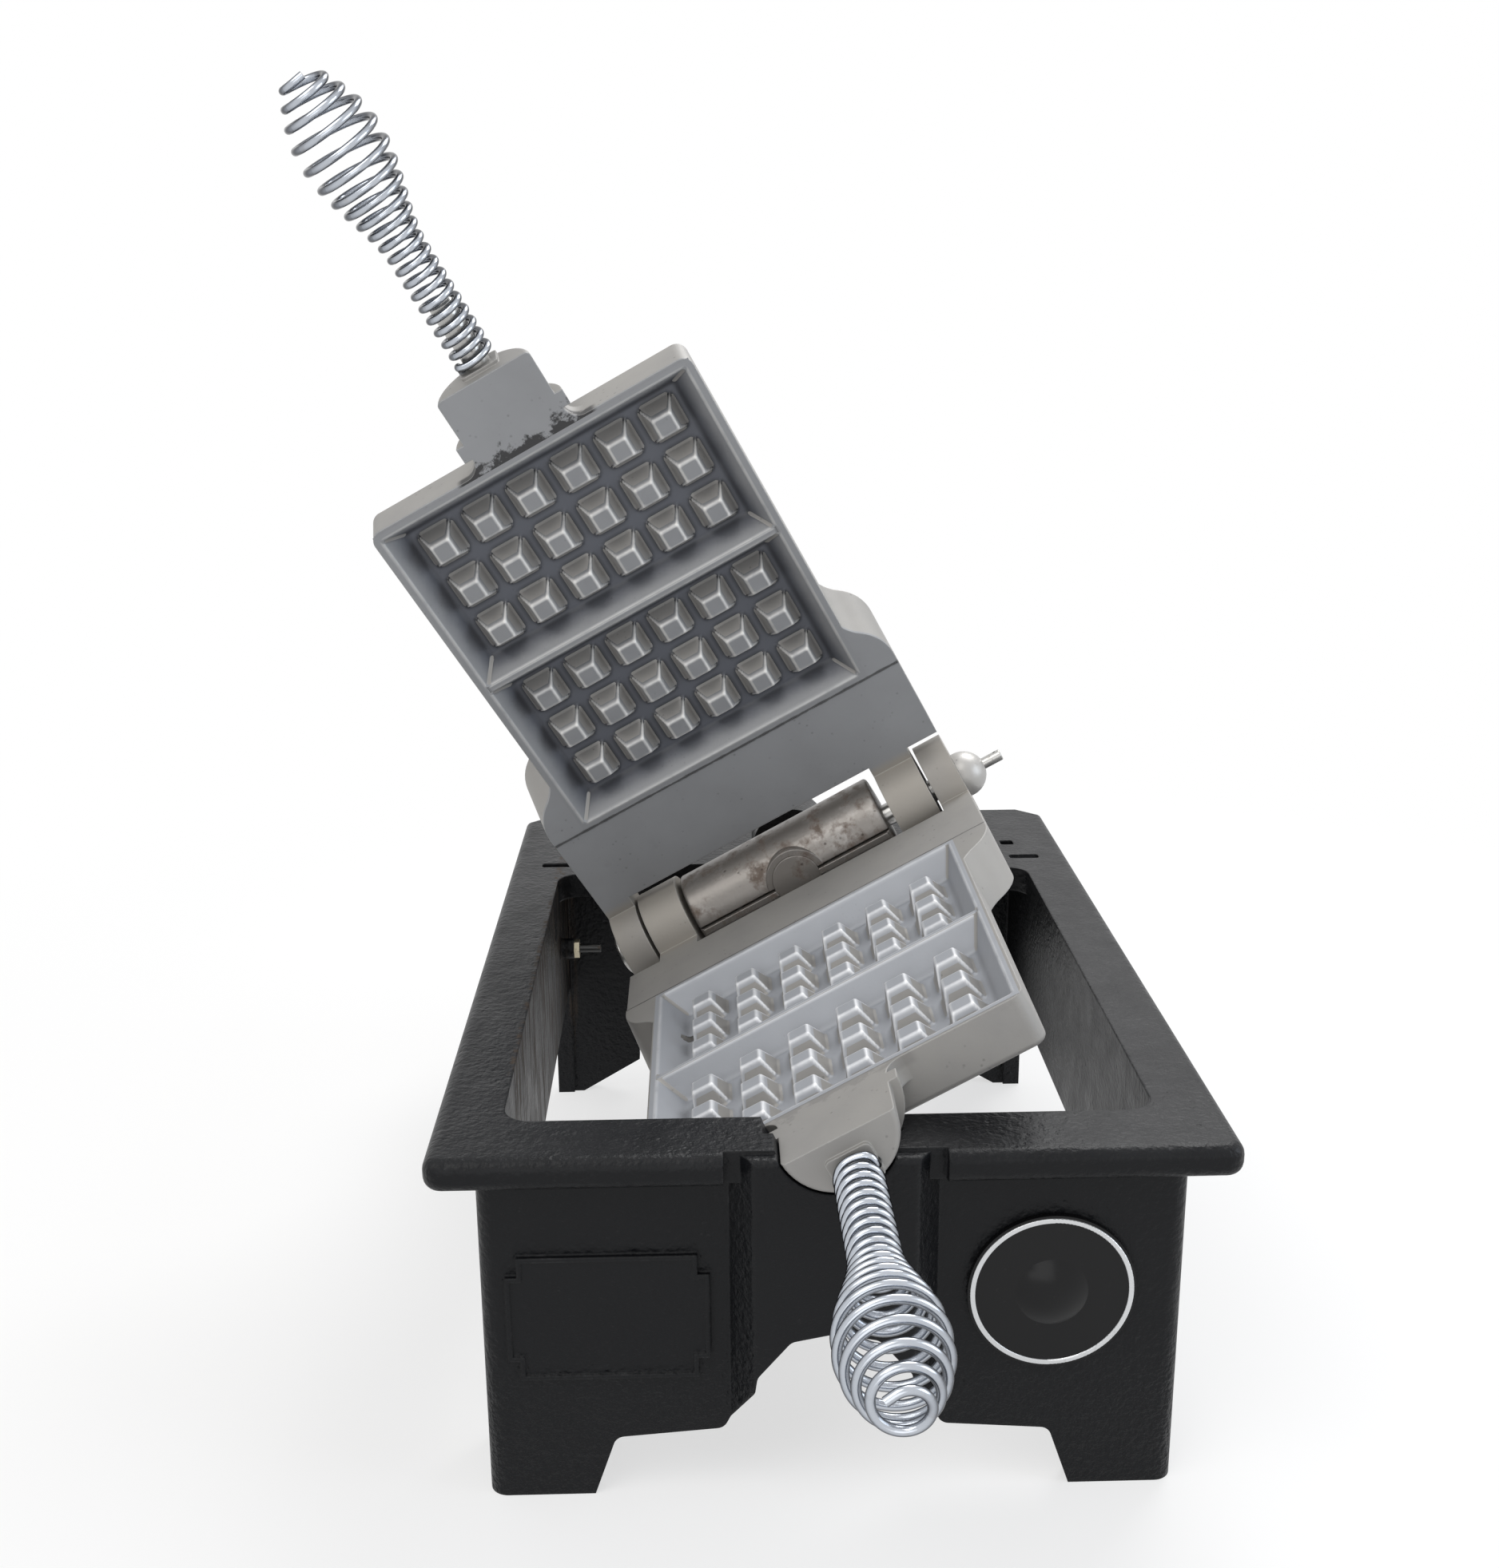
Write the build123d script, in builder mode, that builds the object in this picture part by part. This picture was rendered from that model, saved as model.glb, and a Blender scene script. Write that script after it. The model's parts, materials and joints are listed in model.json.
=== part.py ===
from build123d import *
import os
from math import cos, exp, pi, radians, sin, sqrt

os.makedirs("parts", exist_ok=True)

# Flip-over waffle iron for a shop counter: two cast aluminium waffle plates on one hinge, carried by
# a cast trunnion that rolls in an open cast-iron stand. Millimetres, +X right, +Y rear, +Z up.
# The origin is the centre of the stand's footprint, on the counter.

# Stand
stand_width = 330.0
stand_depth = 470.0
stand_height = 163.0
flange_thickness = 14.0
flange_edge_round = 5.5
flange_corner_radius = 8.0
rear_corner_chamfer = 14.0
wall_thickness = 10.0
side_overhang = 19.0
front_overhang = 12.0
rear_overhang = 57.0
foot_width = 45.0
foot_slope_run = 9.5
foot_slope_rise = 27.5
front_apron_height = 31.0
front_arch_foot_half_width = 46.0
front_arch_waist_half_width = 33.0
front_arch_waist_height = 56.0
front_arch_spring_half_width = 32.0
front_arch_spring_height = 63.0
front_arch_crown_half_width = 18.0
front_arch_crown_height = 79.5
front_arch_height = 83.0
front_arch_round = 5.0
side_apron_height = 75.0
side_rear_foot = 12.0
rear_arch_height = 99.0
rear_foot_width = 51.5
rear_foot_flat = 16.0
rear_foot_rise = 21.0
arch_corner_radius = 12.0
front_rail_width = 36.0
opening_length = 314.0
opening_corner_radius = 12.0
bay_inset = 17.0
bay_depth = 15.0
bay_corner_radius = 9.0
pilaster_half_width = 43.0
pilaster_side_run = 10.0
pilaster_top_drop = 1.5
pilaster_edge_round = 3.0
pilaster_proud = 0.5
lip_set_back = 6.0
lip_end_gap = 2.0

# Slots and recesses in the rear of the flange
slot_length = 17.5
slot_width = 7.0
slot_depth = 8.0
slot_corner_radius = 2.0
slot_inset = 26.5
slot_behind_opening = 17.0
recess_depth = 2.0
recess_step = 3.0
notch_size = 8.0
notch_corner_radius = 1.5
notch_inset = 32.5
notch_behind_opening = 47.0

# Raised plate on the front left, bare
plaque_margin = 9.5
plaque_height = 57.0
plaque_thickness = 1.4
plaque_border = 2.0
plaque_border_height = 1.0
plaque_notch_width = 5.0
plaque_notch_height = 9.0
plaque_off_middle = 1.5
plaque_centre_z = 86.0

# Round badge on the front right, plain
badge_radius = 35.0
badge_thickness = 3.0
badge_off_middle = 4.5
badge_centre_z = 94.5
badge_ring_outer_radius = 34.0
badge_ring_width = 2.2
badge_ring_height = 1.2
badge_ring_seat = 0.6
badge_boss_radius = 15.0
badge_boss_height = 4.0
rivet_radius = 1.6
rivet_spacing = 40.0
rivet_seat = 1.8
rivet_head_radius = 3.0
rivet_head_height = 1.5

# Roll axis and hinge
roll_axis_height = 172.4
hinge_before_opening_rear = 16.0
rest_roll = 28.6
rest_opening = 71.9

# Waffle plates: both halves are the same casting
plate_side_gap = 46.0
plate_thickness = 25.4
plate_corner_radius = 6.0
plate_front_gap = 3.0
plate_back_round = 3.0
mating_gap = 0.6
rim_width = 4.0
rim_front_width = 4.6
rim_rear_width = 4.5
pocket_rear = 91.0
pocket_depth = 15.0
pocket_side_run = 9.0
pocket_end_run = 8.5
pocket_corner_radius = 2.5
divider_crest = 2.4
divider_drop = 0.8
cube_side_margin = 9.8
cube_end_margin = 8.75
divider_gap = 19.0
cube_columns = 6
cube_rows = 3
cube_gap_across = 6.9
cube_gap_along = 7.0
cube_base_radius = 3.0
cube_top = 10.2
cube_top_radius = 1.6
cube_drop = 3.9
cube_edge_round = 1.2
cube_foot_flare = 1.2
vent_radius = 4.0
vent_inset = 14.0
vent_behind_rim = 39.0
back_recess_depth = 3.0
back_recess_margin = 12.0
back_rib_width = 8.0

# Hinge block and knuckles of the casting
block_side_gap = 28.5
block_drop = 1.0
block_end = 37.5
upper_block_reach = 4.0
flare_start = 134.0
flare_end = 92.0
flare_lean = 16.0
knuckle_radius = 26.5
knuckle_gap = 2.0
inner_knuckle_length = 24.0
outer_knuckle_length = 17.0
web_overlap = 6.0

# Neck of the casting
neck_radius = 25.4
neck_length = 40.5
neck_edge_round = 2.5
collar_radius = 29.6
collar_set_out = 8.0
collar_length = 8.0
neck_root_half_width = 33.0
neck_root_length = 8.0
neck_root_depth = 12.0
saddle_clearance = 0.8
collar_end_play = 2.0

# Handle: stud and chromed wire spring
handle_depth = 17.0
handle_splay = 2.4
pad_width = 20.0
pad_height = 16.5
pad_above_axis = 10.0
pad_proud = 1.5
stud_radius = 6.3
stud_projection = 34.0
stud_engagement = 26.0
stud_chamfer = 1.0
wire_diameter = 3.7
coil_turns = 20
coil_length = 151.0
coil_neck_radius = 8.7
coil_bulb_radius = 19.2
coil_end_radius = 6.6
coil_neck_pitch = 6.6
coil_bulb_pitch = 10.4
coil_open_span = 18.0
coil_widen_start = 61.0
coil_widen_length = 53.0
coil_close_start = 117.0
coil_bend_radius = 3.9
coil_leg_depth = 4.4
coil_leg_proud = 0.2

# Hinge pin
pin_radius = 6.35
pin_head_radius = 12.0
pin_head_thickness = 3.5
pin_washer_radius = 14.5
pin_washer_thickness = 1.5
pin_stub_radius = 3.2
pin_stub_wall_gap = 3.0
pin_step_inside_ball = 6.0
pin_stub_hole_radius = 0.9
pin_stub_hole_inset = 3.2
ball_radius = 13.0
ball_collar = 1.5

# Trunnion: two shells round the pin, and the stem
shell_radius = 24.5
shell_end_gap = 4.0
shell_offset = -1.5
shell_edge_round = 2.0
shell_split = 1.4
shell_lip_proud = 2.0
shell_lip_height = 3.0
hump_wall = 3.6
hump_front = 25.0
stem_radius = 13.5
stem_front = 25.6
stem_behind_washer = 12.0
screw_radius = 3.0
screw_from_shell_end = 22.5
screw_from_pin = 15.0
screw_seat_depth = 13.0
screw_head_radius = 5.0
screw_head_height = 4.0
screw_length = 19.0

# Rear bearing
bearing_length = 38.0
bearing_wall = 9.0
bearing_gap = 3.0
stem_washer_radius = 20.0
stem_washer_thickness = 2.5
cotter_radius = 2.0
cotter_overhang = 5.0
cotter_eye_radius = 4.0
cotter_behind_washer = 2.0
groove_clearance = 1.5

# Screw and nut through the left wall
side_screw_radius = 2.4
side_screw_behind_hinge = 12.0
side_screw_height = 118.5
side_screw_inside = 23.0
side_boss_radius = 6.0
side_boss_height = 7.5
side_nut_across_flats = 9.5
side_nut_thickness = 3.2
side_screw_head_radius = 5.0
side_screw_head_height = 3.0

# Named fits
running_clearance = 0.05
seat_clearance = 0.02
loose_clearance = 0.1

# How far a cut runs past the face it opens, so that no skin is left
cut_past = 1.0

# Places that several pieces share
front_y = -stand_depth / 2
rear_y = stand_depth / 2
flange_bottom = stand_height - flange_thickness
wall_outer_x = stand_width / 2 - side_overhang
wall_inner_x = wall_outer_x - wall_thickness
front_wall_y = front_y + front_overhang
rear_wall_y = rear_y - rear_overhang
opening_front_y = front_y + front_rail_width
opening_rear_y = opening_front_y + opening_length
bay_rear_y = opening_rear_y + bay_depth
bay_half_width = wall_inner_x - bay_inset
hinge_y = opening_rear_y - hinge_before_opening_rear
side_screw_y = hinge_y + side_screw_behind_hinge
panel_middle_x = (wall_outer_x + pilaster_half_width) / 2
badge_centre_x = panel_middle_x - badge_off_middle
plaque_centre_x = plaque_off_middle - panel_middle_x
plaque_width = wall_outer_x - pilaster_half_width - 2 * plaque_margin
plate_half_width = wall_inner_x - plate_side_gap
plate_front = hinge_y - opening_front_y - plate_front_gap
block_half_width = wall_inner_x - block_side_gap
outer_knuckle_start = block_half_width - outer_knuckle_length
inner_knuckle_start = outer_knuckle_start - knuckle_gap - inner_knuckle_length
pocket_width = 2 * (plate_half_width - rim_width)
bay_length = (plate_front - rim_front_width - pocket_rear - divider_crest) / 2
cube_pitch_across = (pocket_width - 2 * cube_side_margin) / cube_columns
cube_pitch_along = (bay_length - 2 * cube_end_margin) / cube_rows
cube_base_across = cube_pitch_across - cube_gap_across
cube_base_along = cube_pitch_along - cube_gap_along
neck_end = plate_front + neck_length
collar_start = plate_front + collar_set_out
shell_length = 2 * (inner_knuckle_start - shell_end_gap)
screw_spacing = shell_length - 2 * screw_from_shell_end
pin_stub_end = wall_inner_x - pin_stub_wall_gap
plate_seat_lower = Pos(0, hinge_y, roll_axis_height) * Rot(Y=-rest_roll)
plate_seat_upper = plate_seat_lower * Rot(X=-rest_opening) * Rot(Y=180)
bearing_start_y = bay_rear_y + bearing_gap
bearing_end_y = bearing_start_y + bearing_length
washer_end_y = bearing_end_y + loose_clearance + stem_washer_thickness
stem_end_y = washer_end_y + stem_behind_washer
cotter_y = washer_end_y + cotter_behind_washer + cotter_radius


def save(piece, name):
    """Name a finished piece and write its file."""
    piece.part.label = name
    export_step(piece.part, f"parts/{name}.step")


# The stand

with BuildPart() as base_frame:
    # Flange plate with rounded front corners and cut-off rear corners
    with BuildSketch(Plane.XY.offset(flange_bottom)) as flange_outline:
        Rectangle(stand_width, stand_depth)
        fillet(flange_outline.vertices().group_by(Axis.Y)[0], flange_corner_radius)
        chamfer(flange_outline.vertices().group_by(Axis.Y)[-1], rear_corner_chamfer)
    extrude(amount=flange_thickness)
    fillet(base_frame.faces().sort_by(Axis.Z)[-1].outer_wire().edges(), flange_edge_round)
    fillet(base_frame.faces().sort_by(Axis.Z)[0].outer_wire().edges(), flange_edge_round)
    # Four walls below it
    with BuildSketch() as wall_plan:
        wall_centre_y = (front_wall_y + rear_wall_y) / 2
        wall_depth = rear_wall_y - front_wall_y
        with Locations((0, wall_centre_y)):
            RectangleRounded(2 * wall_outer_x, wall_depth, flange_corner_radius)
            Rectangle(2 * wall_inner_x, wall_depth - 2 * wall_thickness, mode=Mode.SUBTRACT)
    extrude(amount=flange_bottom)
    # Pilaster that carries the saddle: its sides slope to the wall and the flange's lip stops short of it
    with BuildSketch(Plane.XZ.offset(-front_y - lip_set_back)) as lip_end:
        with Locations((0, flange_bottom + flange_thickness / 2)):
            Rectangle(2 * (pilaster_half_width + lip_end_gap), 2 * flange_thickness)
    extrude(amount=lip_set_back + cut_past, mode=Mode.SUBTRACT)
    with BuildSketch(Plane.XY.offset(front_apron_height)) as pilaster_plan:
        with BuildLine():
            pilaster_front_y = front_wall_y - front_overhang - pilaster_proud
            Polyline((0, front_wall_y), (pilaster_half_width, front_wall_y),
                     (pilaster_half_width - pilaster_side_run, pilaster_front_y),
                     (0, pilaster_front_y), (0, front_wall_y))
        make_face()
        mirror(about=Plane.YZ)
    extrude(amount=stand_height - pilaster_top_drop - front_apron_height)
    fillet(base_frame.faces().sort_by(Axis.Y)[0].edges(), pilaster_edge_round)
    # Stepped arch in the front wall
    foot_inner = wall_outer_x - foot_width
    with BuildSketch(Plane.XZ.offset(-front_wall_y - wall_thickness - cut_past)) as front_arch:
        with BuildLine() as front_arch_line:
            FilletPolyline((foot_inner, 0), (foot_inner - foot_slope_run, foot_slope_rise),
                           (front_arch_foot_half_width, front_apron_height),
                           (front_arch_waist_half_width, front_arch_waist_height),
                           (front_arch_spring_half_width, front_arch_spring_height),
                           (front_arch_crown_half_width, front_arch_crown_height),
                           (0, front_arch_height), radius=front_arch_round)
            Polyline((0, front_arch_height), (0, -cut_past), (foot_inner, -cut_past), (foot_inner, 0))
        make_face()
        mirror(about=Plane.YZ)
    extrude(amount=wall_thickness + front_overhang + 2 * cut_past, mode=Mode.SUBTRACT)
    # Long arches in the side walls, from the front feet to the rear ones
    with BuildSketch(Plane.YZ.offset(-stand_width / 2)) as side_arch:
        with Locations((front_wall_y + foot_width, 0)):
            Rectangle(wall_depth - foot_width - side_rear_foot, 2 * side_apron_height,
                      align=(Align.MIN, Align.CENTER))
        fillet(side_arch.vertices().group_by(Axis.Z)[-1], arch_corner_radius)
    extrude(amount=stand_width, mode=Mode.SUBTRACT)
    # Arch in the rear wall, whose feet rise towards the inside
    rear_jamb = wall_outer_x - rear_foot_width
    with BuildSketch(Plane.XZ.offset(-rear_wall_y - cut_past)) as rear_arch:
        with BuildLine():
            Polyline((0, rear_arch_height), (0, -cut_past), (wall_outer_x - rear_foot_flat, -cut_past),
                     (wall_outer_x - rear_foot_flat, 0), (rear_jamb, rear_foot_rise))
            FilletPolyline((rear_jamb, rear_foot_rise), (rear_jamb, rear_arch_height), (0, rear_arch_height),
                           radius=arch_corner_radius)
        make_face()
        mirror(about=Plane.YZ)
    extrude(amount=wall_thickness + 2 * cut_past, mode=Mode.SUBTRACT)
    # Opening that the iron turns in, with a bay for the hinge
    with BuildSketch(Plane.XY.offset(flange_bottom - cut_past)) as opening:
        with Locations((0, opening_front_y + opening_length / 2)):
            RectangleRounded(2 * wall_inner_x, opening_length, opening_corner_radius)
        with Locations((0, bay_rear_y - bay_depth)):
            RectangleRounded(2 * bay_half_width, 2 * bay_depth, bay_corner_radius)
    extrude(amount=flange_thickness + 2 * cut_past, mode=Mode.SUBTRACT)
    # Bearing for the stem, on the rear of the flange
    bearing_radius = stem_radius + running_clearance + bearing_wall
    with BuildSketch(Plane.XZ.offset(-bearing_start_y)) as bearing_face:
        with Locations((0, roll_axis_height)):
            Circle(bearing_radius)
        with Locations((0, (flange_bottom + roll_axis_height) / 2)):
            Rectangle(2 * bearing_radius, roll_axis_height - flange_bottom)
    extrude(amount=-bearing_length)
    # Bore of the bearing, way in front of it and groove for the washer behind it
    with BuildSketch(Plane.XZ.offset(-bay_rear_y)) as bearing_bore:
        with Locations((0, roll_axis_height)):
            Circle(stem_radius + running_clearance)
    extrude(amount=-(stem_end_y - bay_rear_y), mode=Mode.SUBTRACT)
    with BuildSketch(Plane.XZ.offset(-bearing_end_y)) as washer_groove:
        with Locations((0, roll_axis_height)):
            Circle(stem_washer_radius + groove_clearance)
    extrude(amount=-(stem_end_y + groove_clearance - bearing_end_y), mode=Mode.SUBTRACT)
    # Saddle for the necks of the plates
    with BuildSketch(Plane.XZ.offset(-opening_front_y - cut_past)) as saddle:
        with Locations((0, roll_axis_height)):
            Circle(neck_radius + saddle_clearance)
    extrude(amount=front_rail_width + pilaster_proud + 2 * cut_past, mode=Mode.SUBTRACT)
    with BuildSketch(Plane.XZ.offset(-opening_front_y - cut_past)) as collar_way:
        with Locations((0, roll_axis_height)):
            Circle(collar_radius + saddle_clearance)
    collar_front_y = hinge_y - collar_start - collar_length
    extrude(amount=opening_front_y + cut_past - collar_front_y + collar_end_play, mode=Mode.SUBTRACT)
    # Slots and recesses in the flange
    with BuildSketch(Plane.XY.offset(stand_height)) as deep_slots:
        with Locations((-stand_width / 2 + slot_inset, opening_rear_y + slot_behind_opening)):
            RectangleRounded(slot_length, slot_width, slot_corner_radius)
        with Locations((stand_width / 2 - notch_inset, opening_rear_y + notch_behind_opening)):
            RectangleRounded(notch_size, notch_size, notch_corner_radius)
    extrude(amount=-slot_depth, mode=Mode.SUBTRACT)
    with BuildSketch(Plane.XY.offset(stand_height)) as shallow_recess:
        with Locations((stand_width / 2 - slot_inset, opening_rear_y + slot_behind_opening + recess_step)):
            RectangleRounded(slot_length, slot_width, slot_corner_radius)
    extrude(amount=-recess_depth, mode=Mode.SUBTRACT)
    # Raised plate with notched corners and a border
    with BuildSketch(Plane.XZ.offset(-front_wall_y)) as plaque:
        with Locations((plaque_centre_x, plaque_centre_z)):
            Rectangle(plaque_width, plaque_height - 2 * plaque_notch_height)
            Rectangle(plaque_width - 2 * plaque_notch_width, plaque_height)
    extrude(amount=plaque_thickness)
    with BuildSketch(Plane.XZ.offset(-front_wall_y + plaque_thickness)) as plaque_rim:
        with Locations((plaque_centre_x, plaque_centre_z)):
            Rectangle(plaque_width, plaque_height - 2 * plaque_notch_height)
            Rectangle(plaque_width - 2 * plaque_notch_width, plaque_height)
            Rectangle(plaque_width - 2 * plaque_border,
                      plaque_height - 2 * plaque_notch_height - 2 * plaque_border, mode=Mode.SUBTRACT)
            Rectangle(plaque_width - 2 * plaque_notch_width - 2 * plaque_border,
                      plaque_height - 2 * plaque_border, mode=Mode.SUBTRACT)
    extrude(amount=plaque_border_height)
    # Boss and hole for the screw in the left wall
    with BuildSketch(Plane.YZ.offset(-wall_inner_x)) as side_boss:
        with Locations((side_screw_y, side_screw_height)):
            Circle(side_boss_radius)
    extrude(amount=side_boss_height)
    with BuildSketch(Plane.YZ.offset(-wall_outer_x)) as side_screw_hole:
        with Locations((side_screw_y, side_screw_height)):
            Circle(side_screw_radius + loose_clearance)
    extrude(amount=wall_thickness + side_boss_height, mode=Mode.SUBTRACT)
    # Holes for the badge rivets
    with BuildSketch(Plane.XZ.offset(-front_wall_y)) as rivet_holes:
        with Locations((badge_centre_x, badge_centre_z)):
            with GridLocations(rivet_spacing, 1, 2, 1):
                Circle(rivet_radius + seat_clearance)
    extrude(amount=-wall_thickness, mode=Mode.SUBTRACT)

save(base_frame, "base_frame")

# Badge on the front right

with BuildPart() as badge_disc:
    with BuildSketch(Plane.XZ.offset(-front_wall_y)):
        with Locations((badge_centre_x, badge_centre_z)):
            Circle(badge_radius)
    extrude(amount=badge_thickness)
    with BuildSketch(Plane.XZ.offset(badge_thickness - front_wall_y)) as ring_seat:
        with Locations((badge_centre_x, badge_centre_z)):
            Circle(badge_ring_outer_radius + seat_clearance)
            Circle(badge_ring_outer_radius - badge_ring_width - seat_clearance, mode=Mode.SUBTRACT)
    extrude(amount=-badge_ring_seat, mode=Mode.SUBTRACT)
    with BuildSketch(Plane.XZ.offset(-front_wall_y)) as rivet_seats:
        with Locations((badge_centre_x, badge_centre_z)):
            with GridLocations(rivet_spacing, 1, 2, 1):
                Circle(rivet_radius + seat_clearance)
    extrude(amount=rivet_seat, mode=Mode.SUBTRACT)

save(badge_disc, "badge_disc")

with BuildPart() as badge_ring:
    with BuildSketch(Plane.XZ.offset(badge_thickness - badge_ring_seat - front_wall_y)):
        with Locations((badge_centre_x, badge_centre_z)):
            Circle(badge_ring_outer_radius)
            Circle(badge_ring_outer_radius - badge_ring_width, mode=Mode.SUBTRACT)
    extrude(amount=badge_ring_height)
    fillet(badge_ring.faces().sort_by(Axis.Y)[0].edges(), badge_ring_height / 3)

save(badge_ring, "badge_ring")

with BuildPart() as badge_boss:
    # Low dome: an arc that starts level at its top and ends at the rim, turned about the badge's axis
    with BuildSketch(Plane.YZ.offset(badge_centre_x)) as dome_half:
        with BuildLine():
            dome_foot = (front_wall_y - badge_thickness, badge_centre_z + badge_boss_radius)
            dome_top = (front_wall_y - badge_thickness - badge_boss_height, badge_centre_z)
            dome_base = (front_wall_y - badge_thickness, badge_centre_z)
            TangentArc(dome_top, dome_foot, tangent=(0, 1))
            Polyline(dome_foot, dome_base, dome_top)
        make_face()
    revolve(axis=Axis((badge_centre_x, 0, badge_centre_z), (0, 1, 0)))

save(badge_boss, "badge_boss")

with BuildPart() as badge_rivets:
    with BuildSketch(Plane.XZ.offset(rivet_seat - front_wall_y)) as rivet_shanks:
        with Locations((badge_centre_x, badge_centre_z)):
            with GridLocations(rivet_spacing, 1, 2, 1):
                Circle(rivet_radius)
    extrude(amount=-rivet_seat - wall_thickness)
    with BuildSketch(Plane.XZ.offset(-front_wall_y - wall_thickness)) as rivet_heads:
        with Locations((badge_centre_x, badge_centre_z)):
            with GridLocations(rivet_spacing, 1, 2, 1):
                Circle(rivet_head_radius)
    extrude(amount=-rivet_head_height)
    fillet(badge_rivets.faces().sort_by(Axis.Y)[-1].edges(), rivet_head_height / 2)

save(badge_rivets, "badge_rivets")

# Screw and nut in the left wall

with BuildPart() as side_screw:
    with BuildSketch(Plane.YZ.offset(-wall_outer_x - side_screw_head_height)) as side_head:
        with Locations((side_screw_y, side_screw_height)):
            Circle(side_screw_head_radius)
    extrude(amount=side_screw_head_height)
    fillet(side_screw.faces().sort_by(Axis.X)[0].edges(), side_screw_head_height / 2)
    with BuildSketch(Plane.YZ.offset(-wall_outer_x)) as side_shank:
        with Locations((side_screw_y, side_screw_height)):
            Circle(side_screw_radius)
    extrude(amount=wall_thickness + side_screw_inside)

save(side_screw, "side_screw")

with BuildPart() as side_nut:
    with BuildSketch(Plane.YZ.offset(-wall_inner_x + side_boss_height)):
        with Locations((side_screw_y, side_screw_height)):
            RegularPolygon(side_nut_across_flats / 2, 6, major_radius=False)
            Circle(side_screw_radius + seat_clearance, mode=Mode.SUBTRACT)
    extrude(amount=side_nut_thickness)

save(side_nut, "side_nut")


# The iron is drawn closed and level, in its own frame: the hinge axis is X, the roll axis is Y and the
# plates meet at Z = 0. Each piece is then set where it stands at rest.

def place(piece, seat, name):
    """Set a piece of the iron where it stands at rest, and save it."""
    with BuildPart() as placed:
        with Locations(seat):
            add(piece.part)
    save(placed, name)


# Waffle plate: lower half as drawn, upper half turned over

handle_tilt = radians(handle_splay)
handle_foot = Vector(0, -neck_end, -handle_depth)
handle_axis = Vector(0, -cos(handle_tilt), -sin(handle_tilt))
handle_plane = Plane(origin=handle_foot, x_dir=(1, 0, 0), z_dir=handle_axis)
divider_centre = (pocket_rear + plate_front - rim_front_width) / 2
bay_pitch = cube_rows * cube_pitch_along + divider_gap

with BuildPart() as waffle_cube:
    # Cube of the waffle grid: a flared foot on the pocket's floor, sloping sides and a softened top
    foot_top = pocket_depth - cube_foot_flare
    for depth, across, along, corner in (
            (pocket_depth, cube_base_across + 2 * cube_foot_flare, cube_base_along + 2 * cube_foot_flare,
             cube_base_radius + cube_foot_flare),
            (foot_top, cube_base_across, cube_base_along, cube_base_radius),
            (cube_drop, cube_top, cube_top, cube_top_radius)):
        with BuildSketch(Plane.XY.offset(-depth)) as cube_section:
            RectangleRounded(across, along, corner)
    loft(ruled=True)
    fillet(waffle_cube.faces().sort_by(Axis.Z)[-1].edges(), cube_edge_round)

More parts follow.
